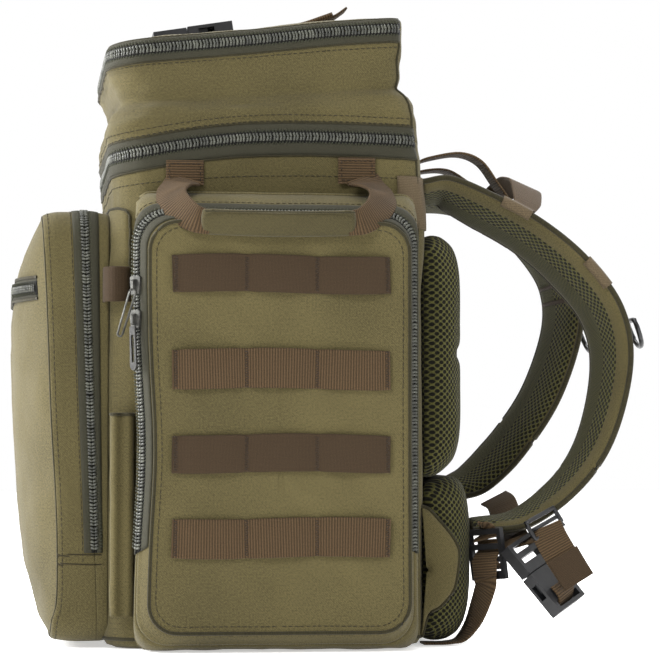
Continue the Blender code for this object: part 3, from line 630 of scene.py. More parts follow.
FABRIC = cloth("olive_fabric_look", rgb(42, 38, 22), rgb(90, 82, 52))
# Darker copy of the olive fabric for piping, binding and the lines along seams and zip tapes: partly
# the binding's own colour, partly painted seam shade.
FABRIC_SEAM_SHADE = cloth("olive_binding_and_seam_shade_look", rgb(26, 24, 14), rgb(50, 46, 29), 1.6)
# Lighter copy of the olive fabric: painted highlight on the side pockets' back piping, which catches
# the light.
FABRIC_EDGE_HIGHLIGHT = cloth("olive_edge_highlight_look", rgb(66, 60, 40), rgb(102, 94, 65), 1.6)
# The grip's cloth is the olive fabric darkened: painted shade for the grip's shaded faces.
GRIP_SHADED = cloth("grip_painted_shade_look", rgb(34, 31, 18), rgb(70, 64, 41))
LINING = cloth("lining_look", rgb(32, 29, 20), rgb(54, 50, 36), 1.8)
BROWN = strap_cloth("webbing_look", rgb(36, 27, 17), rgb(84, 67, 46))
BROWN_SMOOTH = strap_cloth("webbing_smooth_look", rgb(40, 31, 21), rgb(72, 57, 40), 1.0, 0.5)
BAND = strap_cloth("band_look", rgb(66, 56, 41), rgb(112, 98, 76), 1.2, 0.4)
TAPE = tape_cloth("zip_tape_look", rgb(34, 33, 24), rgb(64, 62, 48))
# Near-black strips under the zip teeth: painted shade between the teeth, where the tape shows through
# in shadow.
TAPE_GAP_SHADE = tape_cloth("zip_gap_shade_look", rgb(8, 8, 6), rgb(17, 17, 14))
THREAD = cloth("thread_look", rgb(32, 28, 16), rgb(56, 50, 32), 0.5)
THREAD_BROWN = cloth("brown_thread_look", rgb(24, 18, 12), rgb(52, 41, 29), 0.5)
MESH = spacer("spacer_mesh_look", rgb(84, 82, 42), rgb(16, 15, 5), 5.0, 4.6)
STRAP_MESH = spacer("strap_mesh_look", rgb(88, 85, 44), rgb(18, 17, 6), 5.8, 5.2, 2.0)
PLASTIC = solid_look("plastic_look", rgb(14, 14, 16), rgb(28, 28, 30), 0.42)
METAL = solid_look("slider_metal_look", rgb(54, 54, 51), rgb(92, 91, 86), 0.5, 0.6)
PULL = solid_look("dark_pull_look", rgb(26, 26, 24), rgb(48, 47, 43), 0.45, 0.3)
RING_METAL = solid_look("ring_look", rgb(10, 10, 11), rgb(24, 24, 26), 0.35)
COIL = solid_look("coil_look", rgb(36, 37, 31), rgb(76, 77, 67), 0.42, 0.0, 1500.0, 0.04)
COIL_THREAD = cloth("coil_thread_look", rgb(26, 27, 19), rgb(58, 59, 45), 0.8)
BOARD = solid_look("board_look", rgb(20, 20, 18), rgb(36, 36, 33), 0.6, 0.0, 500.0, 0.2)


# ---------------------------------------------------------------- the bag's tower
main_line = through([
    (-116, 349), (-84, 354), (-60, 358.5), (-32, 362.4), (-7, 364.7), (26, 365.7), (62, 365.4),
    (112, 364),
])


def lid_line(x):
    return 436.3 + 0.1 * x + 1.2 * math.exp(-(((x - 50) / 40) ** 2))


def waist_line(x):
    return 398.0 + 0.07 * x


LINES = {"floor": lambda x: 0.0, "main": main_line, "waist": waist_line, "lid": lid_line}

# line, height above it, front, rear, half width, front radius, rear radius, crumple, rings to next
TOWER = [
    ("floor", 0.3, -104, 106, 104, 24, 12, 0.0, 2),
    ("floor", 2.5, -110, 112.5, 110.5, 28, 14, 0.3, 2),
    ("floor", 9, -113.6, 115.6, 113.8, 30, 15, 0.5, 4),
    ("floor", 60, -114, 116, 114, 30, 15, 1.2, 8),
    ("floor", 250, -113.5, 116.2, 114, 30, 15, 1.2, 5),
    ("floor", 300, -110.5, 118, 113.8, 30, 16, 1.0, 3),
    ("floor", 318, -107, 117.5, 114, 30, 16, 1.3, 5),
    ("main", -13, -108.5, 115.6, 115.3, 31, 16, 0.9, 4),
    ("main", -5, -108.8, 113.8, 115, 31, 16, 0.4, 2),
    ("main", 0, -108.8, 113.4, 114.9, 31, 16, 0.3, 2),
    ("main", 5, -109, 113, 114.8, 31, 16, 0.4, 3),
    ("main", 10, -110.4, 112.3, 114.6, 32, 16, 0.8, 6),
    ("main", 21, -111, 110.6, 115, 32, 16, 1.8, 6),
    ("waist", -8, -108, 107, 112.4, 32, 16, 1.8, 6),
    ("waist", 0, -100.5, 100, 106.2, 30, 14, 1.2, 5),
    ("waist", 7, -104.5, 101.2, 107.4, 31, 14, 1.5, 6),
    ("waist", 20, -109, 101.8, 109.2, 32, 14, 1.6, 6),
    ("lid", -9.5, -112, 102, 111.2, 32, 14, 0.7, 3),
    ("lid", -4.8, -111.4, 102, 111.2, 32, 14, 0.3, 2),
    ("lid", 0, -111.2, 102, 111.2, 32, 14, 0.2, 2),
    ("lid", 4.6, -111, 102, 111, 32, 14, 0.3, 2),
    ("lid", 7.2, -109.8, 101.4, 109.8, 32, 14, 0.4, 2),
    ("lid", 8.6, -107, 99, 106.4, 32, 16, 0.6, 3),
    ("lid", 10.6, -100, 92, 98, 34, 22, 1.0, 4),
    ("lid", 12.6, -88, 80, 84, 38, 30, 1.4, 4),
    ("lid", 14.2, -70, 64, 66, 36, 34, 1.6, 4),
    ("lid", 16, -44, 38, 40, 28, 28, 1.6, 3),
    ("lid", 16.8, -10, 6, 10, 7, 7, 1.0, 1),
]
FOOT, BASE_EDGE, BODY_TOP, SHOULDER = 0, 2, 4, 5
MAIN_TAPE_LOW, MAIN_CHAIN, MAIN_TAPE_HIGH = 7, 9, 11
LID_TAPE_LOW, LID_CHAIN, LID_TAPE_HIGH = 17, 19, 21
TOWER_COUNT = 360
ZIP_RANGE = (0.128, 0.872)  # the zips run from one rear corner round the front to the other
REAR_SEAMS = (("near", 0.129), ("far", 0.871))


def outline(front, rear, half, front_radius, rear_radius, count):
    """Evenly spaced points round the bag's plan from the middle of its rear, near side first."""
    corners = (
        (rear - rear_radius, -half + rear_radius, rear_radius, 0),
        (front + front_radius, -half + front_radius, front_radius, -90),
        (front + front_radius, half - front_radius, front_radius, -180),
        (rear - rear_radius, half - rear_radius, rear_radius, -270),
    )
    dense = [(rear, 0.0)]
    for x, y, radius, start in corners:
        for step in range(13):
            turn = math.radians(start - 90 * step / 12)
            dense.append((x + radius * math.cos(turn), y + radius * math.sin(turn)))
    dense.append((rear, 0.0))
    return resample(dense, count)


def resample(dense, count):
    """Evenly spaced points on a closed polyline that ends where it starts."""
    spots = np.array(dense, float)
    lengths = np.concatenate([[0], np.cumsum(np.linalg.norm(np.diff(spots, axis=0), axis=1))])
    wanted = np.linspace(0, lengths[-1], count, endpoint=False)
    columns = [np.interp(wanted, lengths, spots[:, k]) for k in range(spots.shape[1])]
    return list(zip(*columns))


def blend_keys(keys, i, t, field):
    """A smooth step between two keys' numbers, with no overshoot past either."""
    p = keys[max(i - 1, 0)][field]
    a, b = keys[i][field], keys[i + 1][field]
    q = keys[min(i + 2, len(keys) - 1)][field]
    slope_a = (b - p) / 2 if (b - a) * (a - p) > 0 else 0.0
    slope_b = (q - a) / 2 if (q - b) * (b - a) > 0 else 0.0
    return hermite(a, b, slope_a, slope_b, t)


def tower_push(x, y, z, amount, upper):
    """How far the cloth bulges or sinks at a point of the tower."""
    if upper:
        folds = rough(x / 38, y / 38, z / 9, 3.1) + 0.6 * rough(x / 16, y / 16, z / 7, 9.0)
    else:
        folds = rough(x / 30, y / 30, z / 60, 5.7) + 0.7 * rough(x / 9, y / 9, z / 34, 1.3)
    return amount * folds


def tower():
    """The skin of the whole tower and the ring number of each key."""
    rings, marks = [], []
    for i in range(len(TOWER)):
        marks.append(len(rings))
        steps = TOWER[i][8] if i < len(TOWER) - 1 else 1
        for step in range(steps):
            t = step / steps
            k = min(i, len(TOWER) - 2)
            t = t if i < len(TOWER) - 1 else 1.0
            shape = [blend_keys(TOWER, k, t, field) for field in range(2, 8)]
            points = outline(*shape[:5], TOWER_COUNT)
            ring = []
            for j, (x, y) in enumerate(points):
                before, after = points[j - 1], points[(j + 1) % TOWER_COUNT]
                out = Vector((before[1] - after[1], after[0] - before[0], 0)).normalized()
                if out.x * x + out.y * y < 0:
                    out = -out
                low = LINES[TOWER[k][0]](x) + TOWER[k][1]
                high = LINES[TOWER[k + 1][0]](x) + TOWER[k + 1][1]
                z = low + (high - low) * t
                push = tower_push(x, y, z, shape[5], i >= MAIN_CHAIN)
                lift = push * 0.5 if i > LID_TAPE_HIGH else 0.0
                ring.append(Vector((x, y, z + lift)) + out * push)
            rings.append(ring)
    return Skin(rings), marks


SKIN, MARK = tower()


def rings_between(first, last):
    return SKIN.rings[MARK[first] : MARK[last] + 1]


def shells():
    looks = [FABRIC, LINING]
    body = grid("bag_body", rings_between(FOOT, MAIN_CHAIN), looks, True, ("first",), thick=2.4)
    settle(body, "pack_body", ["main_compartment"])
    floor_rows = []
    first = SKIN.rings[MARK[MAIN_CHAIN]]
    level = sum(p.z for p in first) / len(first)
    for share in (0.03, 0.4, 0.8, 0.96):
        rise = level + 4.0
        floor_rows.append(
            [Vector((p.x * share, p.y * share, rise + (p.z - level) * share**2)) for p in first]
        )
    rows = floor_rows + rings_between(MAIN_CHAIN, LID_CHAIN)
    upper = grid("upper_walls", rows, looks, True, ("first",), inside=(0, 0, 400), thick=2.2)
    settle(upper, "upper_box", ["upper_compartment"])
    rows = rings_between(LID_CHAIN, len(TOWER) - 1)
    lid = grid("lid_shell", rows, looks, True, ("last",), thick=2.2)
    settle(lid, "lid_body", ["lid"])


def tower_zip(name, keys, bodies, nodes):
    tape_low, chain_low, middle, chain_high, tape_high = (float(MARK[k]) for k in keys)
    below, above = bodies
    tapes(name, SKIN, ZIP_RANGE, (
        ("tape_low", tape_low, chain_low + 0.5, TAPE, 0.6, below, [nodes[0]]),
        ("core_low", chain_low, middle - 0.1, TAPE_GAP_SHADE, 0.6, below, []),
        ("core_high", middle + 0.1, chain_high, TAPE_GAP_SHADE, 0.6, above, []),
        ("tape_high", chain_high - 0.5, tape_high, TAPE, 0.6, above, [nodes[1]]),
    ))
    chain(name, SKIN, ZIP_RANGE, middle, bodies)
    # Dark edging along the outer edge of each tape: painted shade in the seam.
    for label, w, body in (("low", tape_low - 0.1, below), ("high", tape_high + 0.1, above)):
        path = [SKIN.lifted(s, w, 0.3) for s in np.linspace(*ZIP_RANGE, 260)]
        edging(f"{name}_edge_{label}", path, 0.75, body, sides=6)


def tower_details():
    tower_zip(
        "main_zip", range(MAIN_TAPE_LOW, MAIN_TAPE_HIGH + 1),
        ("pack_body", "upper_box"), ("main_zip_lower", "main_zip_upper"),
    )
    tower_zip(
        "lid_zip", range(LID_TAPE_LOW, LID_TAPE_HIGH + 1),
        ("upper_box", "lid_body"), ("lid_zip_lower", "lid_zip_upper"),
    )
    lines = (
        ("stitch_under_main_zip", MARK[MAIN_TAPE_LOW] - 2.2, "pack_body"),
        ("stitch_over_main_zip", MARK[MAIN_TAPE_HIGH] + 3.2, "upper_box"),
        ("stitch_over_main_zip_low", MARK[MAIN_TAPE_HIGH] + 0.8, "upper_box"),
        ("stitch_under_lid_zip", MARK[LID_TAPE_LOW] - 2.0, "upper_box"),
        ("stitch_over_lid_zip", MARK[LID_TAPE_HIGH] + 1.6, "lid_body"),
    )
    for name, w, body in lines:
        sew(name, SKIN, ZIP_RANGE, w, body)
    seams = (
        ("upper_seam", 0.4, MARK[MAIN_TAPE_HIGH], MARK[LID_TAPE_LOW], 40, "upper_box"),
        ("body_seam", 0.3, MARK[BASE_EDGE], MARK[MAIN_TAPE_LOW], 60, "pack_body"),
    )
    for name, lift, low, high, count, body in seams:
        for label, s in REAR_SEAMS:
            path = [SKIN.lifted(s, w, lift) for w in np.linspace(low, high, count)]
            edging(f"{name}_{label}", path, 0.9, body, sides=6)
    base = round_ring(SKIN, MARK[BASE_EDGE] - 0.5, 0.3, 200)
    edging("base_piping", base, 1.3, "pack_body", closed=True)


# ---------------------------------------------------------------- pockets
def pocket_outline(left, right, low, high, radius, count):
    """Evenly spaced points round a pocket from the middle of its bottom, left side first."""
    corners = (
        (left + radius, low + radius, -90),
        (left + radius, high - radius, -180),
        (right - radius, high - radius, -270),
        (right - radius, low + radius, -360),
    )
    middle = (left + right) / 2
    dense = [(middle, low)]
    for u, v, start in corners:
        for step in range(11):
            turn = math.radians(start - 90 * step / 10)
            dense.append((u + radius * math.cos(turn), v + radius * math.sin(turn)))
    dense.append((middle, low))
    return resample(dense, count)


def share_at(skin, w, height, rising=True):
    """Where a ring crosses a height: on its left side, or on its right."""
    shares = np.linspace(0.03, 0.45, 300) if rising else np.linspace(0.97, 0.55, 300)
    for s in shares:
        if skin.at(s, w).z >= height:
            return float(s)
    return float(shares[-1])


# depth from the bag's middle, left, right, low, high, radius, crumple, rings to next
SIDE_KEYS = [
    (112.0, -90, 107, 2, 323, 8, 0.0, 2),
    (117.0, -90.2, 107.2, 1.5, 323.6, 8, 0.4, 4),
    (132.0, -92.4, 107.6, 1.0, 320, 12, 1.0, 4),
    (142.5, -93.6, 106.6, 2.0, 314.4, 17, 0.6, 3),
    (148.2, -93.8, 104.8, 3.6, 309.6, 21, 0.2, 2),
    (150.2, -92.5, 102.2, 5.4, 306.8, 22, 0.1, 2),
    (152.6, -90.0, 100.6, 7.4, 304.6, 22, 0.2, 3),
    (158.4, -86.0, 99.0, 11.4, 301.6, 21, 0.3, 2),
    (160.3, -84.0, 98.0, 14.0, 299.4, 20, 0.1, 2),
    (160.9, -80.5, 94.5, 17.5, 296.0, 18, 0.5, 3),
    (160.9, -70, 84, 28, 286, 14, 1.4, 5),
    (161.2, -45, 59, 53, 261, 12, 2.0, 5),
    (161.4, -10, 24, 88, 226, 10, 1.6, 3),
    (161.4, 5, 9, 103, 211, 1.9, 1.2, 1),
]
SIDE_BACK, SIDE_TAPE_OUTER, SIDE_CORE_OUTER, SIDE_CHAIN = 1, 3, 4, 5
SIDE_CORE_INNER, SIDE_TAPE_INNER, SIDE_PIPING, SIDE_FACE = 6, 7, 8, 9
POCKET_COUNT = 300
SPLIT_Z = 68.0
SIDE_HINGE_Y = 161.3
FRONT_HINGE = (-168, 66)
HINGE_REACH = 5  # half the height between the two fold points given with a panel's bend


def dense_keys(keys, ring_at):
    """Rings from a table of keys whose last number is the count of rings to the next key."""
    rings, marks = [], []
    for i in range(len(keys)):
        marks.append(len(rings))
        steps = keys[i][-1] if i < len(keys) - 1 else 1
        for step in range(steps):
            k = min(i, len(keys) - 2)
            t = step / steps if i < len(keys) - 1 else 1.0
            rings.append(ring_at([blend_keys(keys, k, t, f) for f in range(len(keys[0]) - 1)], k + t))
    return rings, marks


def side_skin(side):
    def ring_at(shape, place):
        depth, left, right, low, high, radius, crumple = shape
        ring = []
        for x, z in pocket_outline(left, right, low, high, radius, POCKET_COUNT):
            bow = 4.5 * math.exp(-(((z - 140) / 62) ** 2)) * min(max((20 - x) / 110, 0.0), 1.0)
            x += bow * min(1.0, (depth - 112) / 30)
            push = crumple * (
                rough(x / 30, side * 3, z / 44, 2.2)
                + 0.6 * rough((x + z) / 14, side * 5, (x - z) / 50, 7.5)
            )
            if place > SIDE_FACE:
                ring.append(Vector((x, side * (depth + push), z)))
            else:
                middle = Vector((4, 0, 163))
                out = (Vector((x, 0, z)) - middle).normalized()
                ring.append(Vector((x, side * depth, z)) + out * push)
        return ring

    rings, marks = dense_keys(SIDE_KEYS, ring_at)
    return Skin(rings, (4, side * 100, 160)), marks


def side_zip(side, label, skin, mark, run):
    name, flap = f"pocket_{label}", f"{label}_flap"
    tape_out, core_out = mark[SIDE_TAPE_OUTER], mark[SIDE_CORE_OUTER]
    core_in, tape_in = mark[SIDE_CORE_INNER], mark[SIDE_TAPE_INNER]
    middle = float(mark[SIDE_CHAIN])
    outer, inner = [], []
    if side < 0:
        outer, inner = ["side_zip_near_outer"], ["side_zip_near_inner"]
    tapes(name, skin, run, (
        ("tape_outer", tape_out + 0.6, core_out + 0.6, TAPE, 0.6, "pack_body", outer),
        ("core_outer", core_out + 0.2, middle - 0.1, TAPE_GAP_SHADE, 0.5, "pack_body", []),
        ("core_inner", middle + 0.1, core_in, TAPE_GAP_SHADE, 0.5, flap, []),
        ("tape_inner", core_in - 0.2, tape_in + 0.2, TAPE, 0.6, flap, inner),
    ))
    chain(name, skin, run, middle, ("pack_body", flap), 4.8, -side)


def side_pocket(side, label):
    skin, mark = side_skin(side)
    name, flap = f"pocket_{label}", f"{label}_flap"
    fold = [(0, side * SIDE_HINGE_Y, SPLIT_Z + reach) for reach in (-HINGE_REACH, HINGE_REACH)]
    bend = ("pack_body", flap, *fold)
    gusset = grid(
        f"{name}_gusset", skin.rings[: mark[SIDE_CHAIN] + 1], [FABRIC, LINING], True,
        inside=skin.inside, thick=1.8,
    )
    settle(gusset, "pack_body", [f"side_pocket_{label}"])
    face = grid(
        f"{name}_face", skin.rings[mark[SIDE_CHAIN] :], [FABRIC, LINING], True, ("last",),
        inside=skin.inside, thick=1.8,
    )
    settle(face, flap, [f"side_panel_{label}"], bend)
    middle = float(mark[SIDE_CHAIN])
    run = [share_at(skin, middle, SPLIT_Z + 1.5, rising) for rising in (True, False)]
    side_zip(side, label, skin, mark, run)
    piping = round_ring(skin, mark[SIDE_PIPING], 0.6)
    edging(f"{name}_piping", piping, 1.2, flap, bend=bend, closed=True)
    sew(f"{name}_stitch", skin, (0.0, 1.0), mark[SIDE_FACE] + 0.4, flap, bend)
    # The back piping wears the lighter olive copy, a painted highlight on its edge.
    piping = round_ring(skin, mark[SIDE_BACK] + 0.4, 0.4)
    edging(f"{name}_back_piping", piping, 1.0, "pack_body", FABRIC_EDGE_HIGHLIGHT, closed=True)
    wide = (run[0] - 0.02, run[1] + 0.02)
    sew(f"{name}_gusset_stitch", skin, wide, mark[SIDE_TAPE_OUTER] - 0.3, "pack_body")
    webbing_rows(side, label)


ROW_X = (-68.5, 84.0)
ROW_Z = ((66.0, 93.5), (125.0, 151.5), (183.0, 211.0), (250.0, 276.5))
TACKS = (-66.0, -16.8, 32.5, 82.0)


def webbing_rows(side, label):
    flap = f"{label}_flap"
    for i, (low, high) in enumerate(ROW_Z):
        middle, width = (low + high) / 2, high - low
        path = []
        for k in range(91):
            x = ROW_X[0] + (ROW_X[1] - ROW_X[0]) * k / 90
            near = min(abs(x - t) for t in TACKS)
            bulge = 1.5 * (1 - math.exp(-((near / 9) ** 2)))
            sag = 0.8 * math.sin((x + 20 * i) / 24)
            path.append(Vector((x, side * (162.6 + bulge), middle + sag)))
        sections = []
        for spot in path:
            tuck = 1 - 0.03 * math.exp(-((min(abs(spot.x - t) for t in TACKS) / 4) ** 2))
            sections.append(web_section(width * tuck, 1.8))
        look = BROWN if i % 2 == 0 else BROWN_SMOOTH
        name = f"pals_row_{label}_{i + 1}"
        row = sweep(name, path, [Vector((0, 0, 1))] * len(path), sections, look)
        nodes = [f"webbing_row_near_{i + 1}"] if side < 0 else []
        settle(row, flap, nodes)
        marks = []
        for t in TACKS:
            for k in range(15):
                z = middle + (k - 7) / 7 * (width / 2 - 2)
                spot = Vector((t, side * 163.6, z))
                reach = Vector((1.3, 0, 0.5 if k % 2 else -0.5))
                marks.append((spot - reach, spot + reach, Vector((0, side, 0)), 0.7, 1.0, 0))
        tacks = lozenges(f"row_tacks_{label}_{i + 1}", marks, THREAD_BROWN, 0.42, 5)
        settle(tacks, flap)


def front_chain_x(z):
    return -119.0 - 9.0 * (z - 66) / 249


seam_x = through([
    (5, -150.5), (20, -149), (31, -146), (63, -145.3), (105, -146.5), (162, -150), (248, -153.6),
    (287, -155.8), (312, -157.5),
])


def front_bulge(inset):
    return 29.5 * (1 - math.exp(-((max(inset, 0.0) / 38) ** 1.1)))


# place between the bag (0), the zip (1) and the seam (2), half width, low, high, radius, inset of the
# face, crumple, rings to next
FRONT_KEYS = [
    (0.0, 100, 5.5, 311.5, 20, 0, 0.0, 3),
    (0.55, 100.6, 4.6, 312.6, 21, 0, 0.3, 2),
    (0.82, 100.6, 4.4, 312.8, 21, 0, 0.2, 2),
    (1.0, 100.6, 4.4, 312.8, 21, 0, 0.1, 2),
    (1.1, 100.8, 4.3, 313, 21, 0, 0.2, 2),
    (1.3, 101, 4.2, 313.2, 22, 0, 0.5, 5),
    (1.7, 101, 4.4, 312.8, 23, 0, 1.3, 4),
    (1.97, 99.6, 6.2, 311, 23, 0, 0.5, 2),
    (2.0, 98.2, 8.2, 309.4, 23, 0, 0.2, 2),
    (2.0, 95.5, 11, 306.6, 22, 3, 0.4, 3),
    (2.0, 86, 20.5, 297, 20, 12.5, 1.6, 4),
    (2.0, 72, 34.5, 283, 20, 26.5, 2.2, 4),
    (2.0, 54, 52.5, 265, 20, 44.5, 2.2, 4),
    (2.0, 32, 74.5, 243, 18, 66.5, 1.8, 4),
    (2.0, 10, 96.5, 221, 9, 88.5, 1.4, 2),
    (2.0, 2, 104.5, 213, 1.9, 96.5, 0.8, 1),
]
FRONT_TAPE_REAR, FRONT_CORE_REAR, FRONT_CHAIN, FRONT_CORE_FRONT = 1, 2, 3, 4
FRONT_TAPE_FRONT, FRONT_STITCH, FRONT_SEAM = 5, 7, 8


def front_skin():
    def ring_at(shape, place):
        station, half, low, high, radius, inset, crumple = shape
        ring = []
        for y, z in pocket_outline(-half, half, low, high, radius, POCKET_COUNT):
            back, zipped, seam = -110.0, front_chain_x(z), seam_x(z)
            if station <= 1:
                x = back + (zipped - back) * station
            else:
                x = zipped + (seam - zipped) * (station - 1)
            x -= front_bulge(inset)
            push = crumple * (
                rough(y / 40, z / 50, x / 30, 4.4) + 0.5 * rough(y / 60, z / 18, x / 15, 8.8)
            )
            if place > FRONT_SEAM:
                ring.append(Vector((x - push, y, z)))
            else:
                out = Vector((0, y, z - 158)).normalized()
                ring.append(Vector((x, y, z)) + out * push)
        return ring

    rings, marks = dense_keys(FRONT_KEYS, ring_at)
    return Skin(rings, (-125, 0, 160)), marks


def front_pocket():
    skin, mark = front_skin()
    middle = float(mark[FRONT_CHAIN])
    x, z = FRONT_HINGE
    bend = ("pack_body", "front_flap", (x, 0, z - HINGE_REACH), (x, 0, z + HINGE_REACH))
    base = grid(
        "front_pocket_base", skin.rings[: mark[FRONT_CHAIN] + 1], [FABRIC, LINING], True,
        inside=skin.inside, thick=1.8,
    )
    settle(base, "pack_body", ["front_pocket"])
    face = grid(
        "front_pocket_face", skin.rings[mark[FRONT_CHAIN] :], [FABRIC, LINING], True, ("last",),
        inside=skin.inside, thick=1.8,
    )
    settle(face, "front_flap", ["front_panel"], bend)
    run = [share_at(skin, middle, 67.5, rising) for rising in (True, False)]
    tape_rear, core_rear = mark[FRONT_TAPE_REAR], mark[FRONT_CORE_REAR]
    core_front, tape_front = mark[FRONT_CORE_FRONT], mark[FRONT_TAPE_FRONT]
    tapes("front", skin, run, (
        ("tape_rear", tape_rear - 0.6, core_rear + 0.5, TAPE, 0.6, "pack_body", ["front_zip_rear"]),
        ("core_rear", core_rear, middle - 0.1, TAPE_GAP_SHADE, 0.6, "pack_body", []),
        ("core_front", middle + 0.1, core_front, TAPE_GAP_SHADE, 0.6, "front_flap", []),
        ("tape_front", core_front - 0.5, tape_front, TAPE, 0.6, "front_flap", ["front_zip_front"]),
    ))
    chain("front", skin, run, middle, ("pack_body", "front_flap"))
    piping = round_ring(skin, mark[FRONT_SEAM], 0.1)
    edging("front_piping", piping, 0.9, "front_flap", bend=bend, closed=True)
    sew("front_stitch_outer", skin, (0, 1), mark[FRONT_STITCH] - 1.6, "front_flap", bend)
    wide = (run[0] - 0.01, run[1] + 0.01)
    sew("front_stitch_zip", skin, wide, tape_front + 0.5, "front_flap", bend)
    cross_stitches(skin, mark)


def cross_stitches(skin, mark):
    """Level stitches on the front pocket's sides, one line on each side of its fold."""
    for label, rising in (("near", True), ("far", False)):
        for z in (59.4, 65.6):
            marks = []
            for w in np.arange(mark[FRONT_TAPE_REAR] + 0.5, mark[FRONT_SEAM], 0.36):
                share = share_at(skin, w, z, rising)
                spot, way = skin.lifted(share, w, 0.3), skin.at(share, w + 0.3) - skin.at(share, w)
                way = way.normalized() * 1.3
                marks.append((spot - way, spot + way, skin.normal(share, w), 0.8, 1.0, 0))
            stitch = lozenges(f"front_stitch_{label}_{int(z)}", marks, THREAD, 0.42, 5)
            settle(stitch, "pack_body" if z < 66 else "front_flap")


def front_face(y, z, lift=0.0):
    """A point on the front pocket's face."""
    inset = min(97 - abs(y), z - 9.5, 308 - z)
    return Vector((seam_x(z) - front_bulge(inset) - lift, y, z))


def small_zip():
    """The short zip let across the front panel."""
    columns = np.linspace(-88, 88, 70)
    # The core strip is near-black, painted shade under the teeth.
    for tag, low, high, look, lift in (
        ("tape", 250.0, 265.0, TAPE, 1.0), ("core", 252.6, 262.4, TAPE_GAP_SHADE, 1.5),
    ):
        rows = [[front_face(y, z, lift) for y in columns] for z in np.linspace(low, high, 6)]
        item = grid(f"small_zip_{tag}", rows, look, inside=(-120, 0, 160), thick=1.0)
        settle(item, "front_flap", ["front_small_zip"] if tag == "tape" else [])
    along, out = Vector((0, 1, 0)), Vector((-1, 0, 0))
    spots = [(front_face(y, 257.5, 1.6), along, out) for y in np.arange(-86, 86, 2.2)]
    for tag, sign in (("a", 1), ("b", -1)):
        settle(coil(f"small_zip_teeth_{tag}", spots, sign, 5.0, 2.2), "front_flap")
    for tag, z in (("low", 249.8), ("high", 265.2)):
        path = [front_face(y, z, 1.2) for y in columns]
        edging(f"small_zip_edge_{tag}", path, 1.1, "front_flap")


# ---------------------------------------------------------------- handles
def box_patch(name, x, z, width, height, side, body):
    """A square of webbing sewn flat on the wall, its ribs level."""
    path = [Vector((x, side * 117.0, z - height / 2 + height * k / 8)) for k in range(9)]
    sections = [web_section(width, 2.2)] * len(path)
    item = sweep(name, path, [Vector((1, 0, 0))] * len(path), sections, BROWN)
    settle(item, body)
    marks = []
    out = Vector((0, side, 0))
    half_w, half_h = width / 2 - 2.5, height / 2 - 2.5
    corners = [(-half_w, -half_h), (half_w, -half_h), (half_w, half_h), (-half_w, half_h)]
    for i in range(4):
        a, b = corners[i], corners[(i + 1) % 4]
        span = math.hypot(b[0] - a[0], b[1] - a[1])
        count = int(span / 3.6)
        for k in range(count):
            start_x = x + a[0] + (b[0] - a[0]) * k / count
            start_z = z + a[1] + (b[1] - a[1]) * k / count
            start = Vector((start_x, side * 118.3, start_z))
            way = Vector((b[0] - a[0], 0, b[1] - a[1])).normalized()
            marks.append((start, start + way * 2.5, out, 0.8, 1.0, 0))
    settle(lozenges(name + "_stitch", marks, THREAD_BROWN, 0.4, 5), body)


LEG_FRONT = [
    (-57, 117.8, 334), (-60, 122, 331), (-66, 133, 325.5), (-68, 147, 317), (-62, 158, 308),
    (-53, 165.5, 301), (-42, 167.2, 298.5),
]
LEG_REAR = [
    (70, 117.8, 336), (73, 122, 332.5), (79, 133, 326.5), (81, 147, 318), (75, 158, 308.5),
    (65, 165.5, 301), (53, 167.2, 298.5),
]
LEG_LEAN = [
    (1, 0, 0), (1, 0, 0.05), (0.95, 0, 0.3), (0.8, 0, 0.6), (0.5, 0, 0.9), (0.2, 0, 1), (0.2, 0, 1),
]
LEG_WIDTHS = [26, 26, 25, 23, 21, 19, 17]


def handle(side, label):
    body = f"{label}_handle"
    name = "handle_webbing_near" if side < 0 else "side_handle_far"
    mirrored = [(x, y, -z) for x, y, z in LEG_LEAN]
    for tag, leg, lean in (("a", LEG_FRONT, LEG_LEAN), ("b", LEG_REAR, mirrored)):
        path = [(x, side * y, z) for x, y, z in leg]
        nodes = [name] if tag == "a" else []
        webbing(f"handle_leg_{label}_{tag}", path, lean, body, nodes, widths=LEG_WIDTHS, thick=2.4)
    box_patch(f"handle_box_{label}_a", -57, 338.5, 27, 17.5, side, "pack_body")
    box_patch(f"handle_box_{label}_b", 66.5, 341.5, 27, 19, side, "pack_body")
    handle_grip(side, label, body)


def handle_grip(side, label, body):
    """The padded grip, which sags a little between the webbing legs."""
    points = []
    for share in (k / 40 for k in range(41)):
        x = -49.5 + 109.5 * share
        end = min(share, 1 - share)
        size = 0.8 + 0.2 * min(1.0, end / 0.05)
        sag = 1.6 * math.sin(math.pi * share)
        ring = []
        for j in range(22):
            turn = 2 * math.pi * j / 22
            deep = swollen(math.cos(turn), 0.7) * 4.2 * size
            tall = swollen(math.sin(turn), 0.8) * 9.8 * size
            ring.append(Vector((x, side * (167.4 + deep + 0.3 * tall), 299.4 + tall - sag)))
        points.append(ring)
    # The grip is clothed in the darkened olive fabric, painted shade.
    grip = grid(f"grip_{label}", points, GRIP_SHADED, True, ("first", "last"), inside=(5, side * 167, 298))
    puff(grip, 3.2, 1.4, 2.5)
    settle(grip, body, ["handle_grip_near"] if side < 0 else [])
    path = [Vector((x, side * 174.6, 305.6)) for x in np.linspace(-47, 58, 40)]
    edging(f"grip_seam_{label}", path, 0.5, body, sides=6)


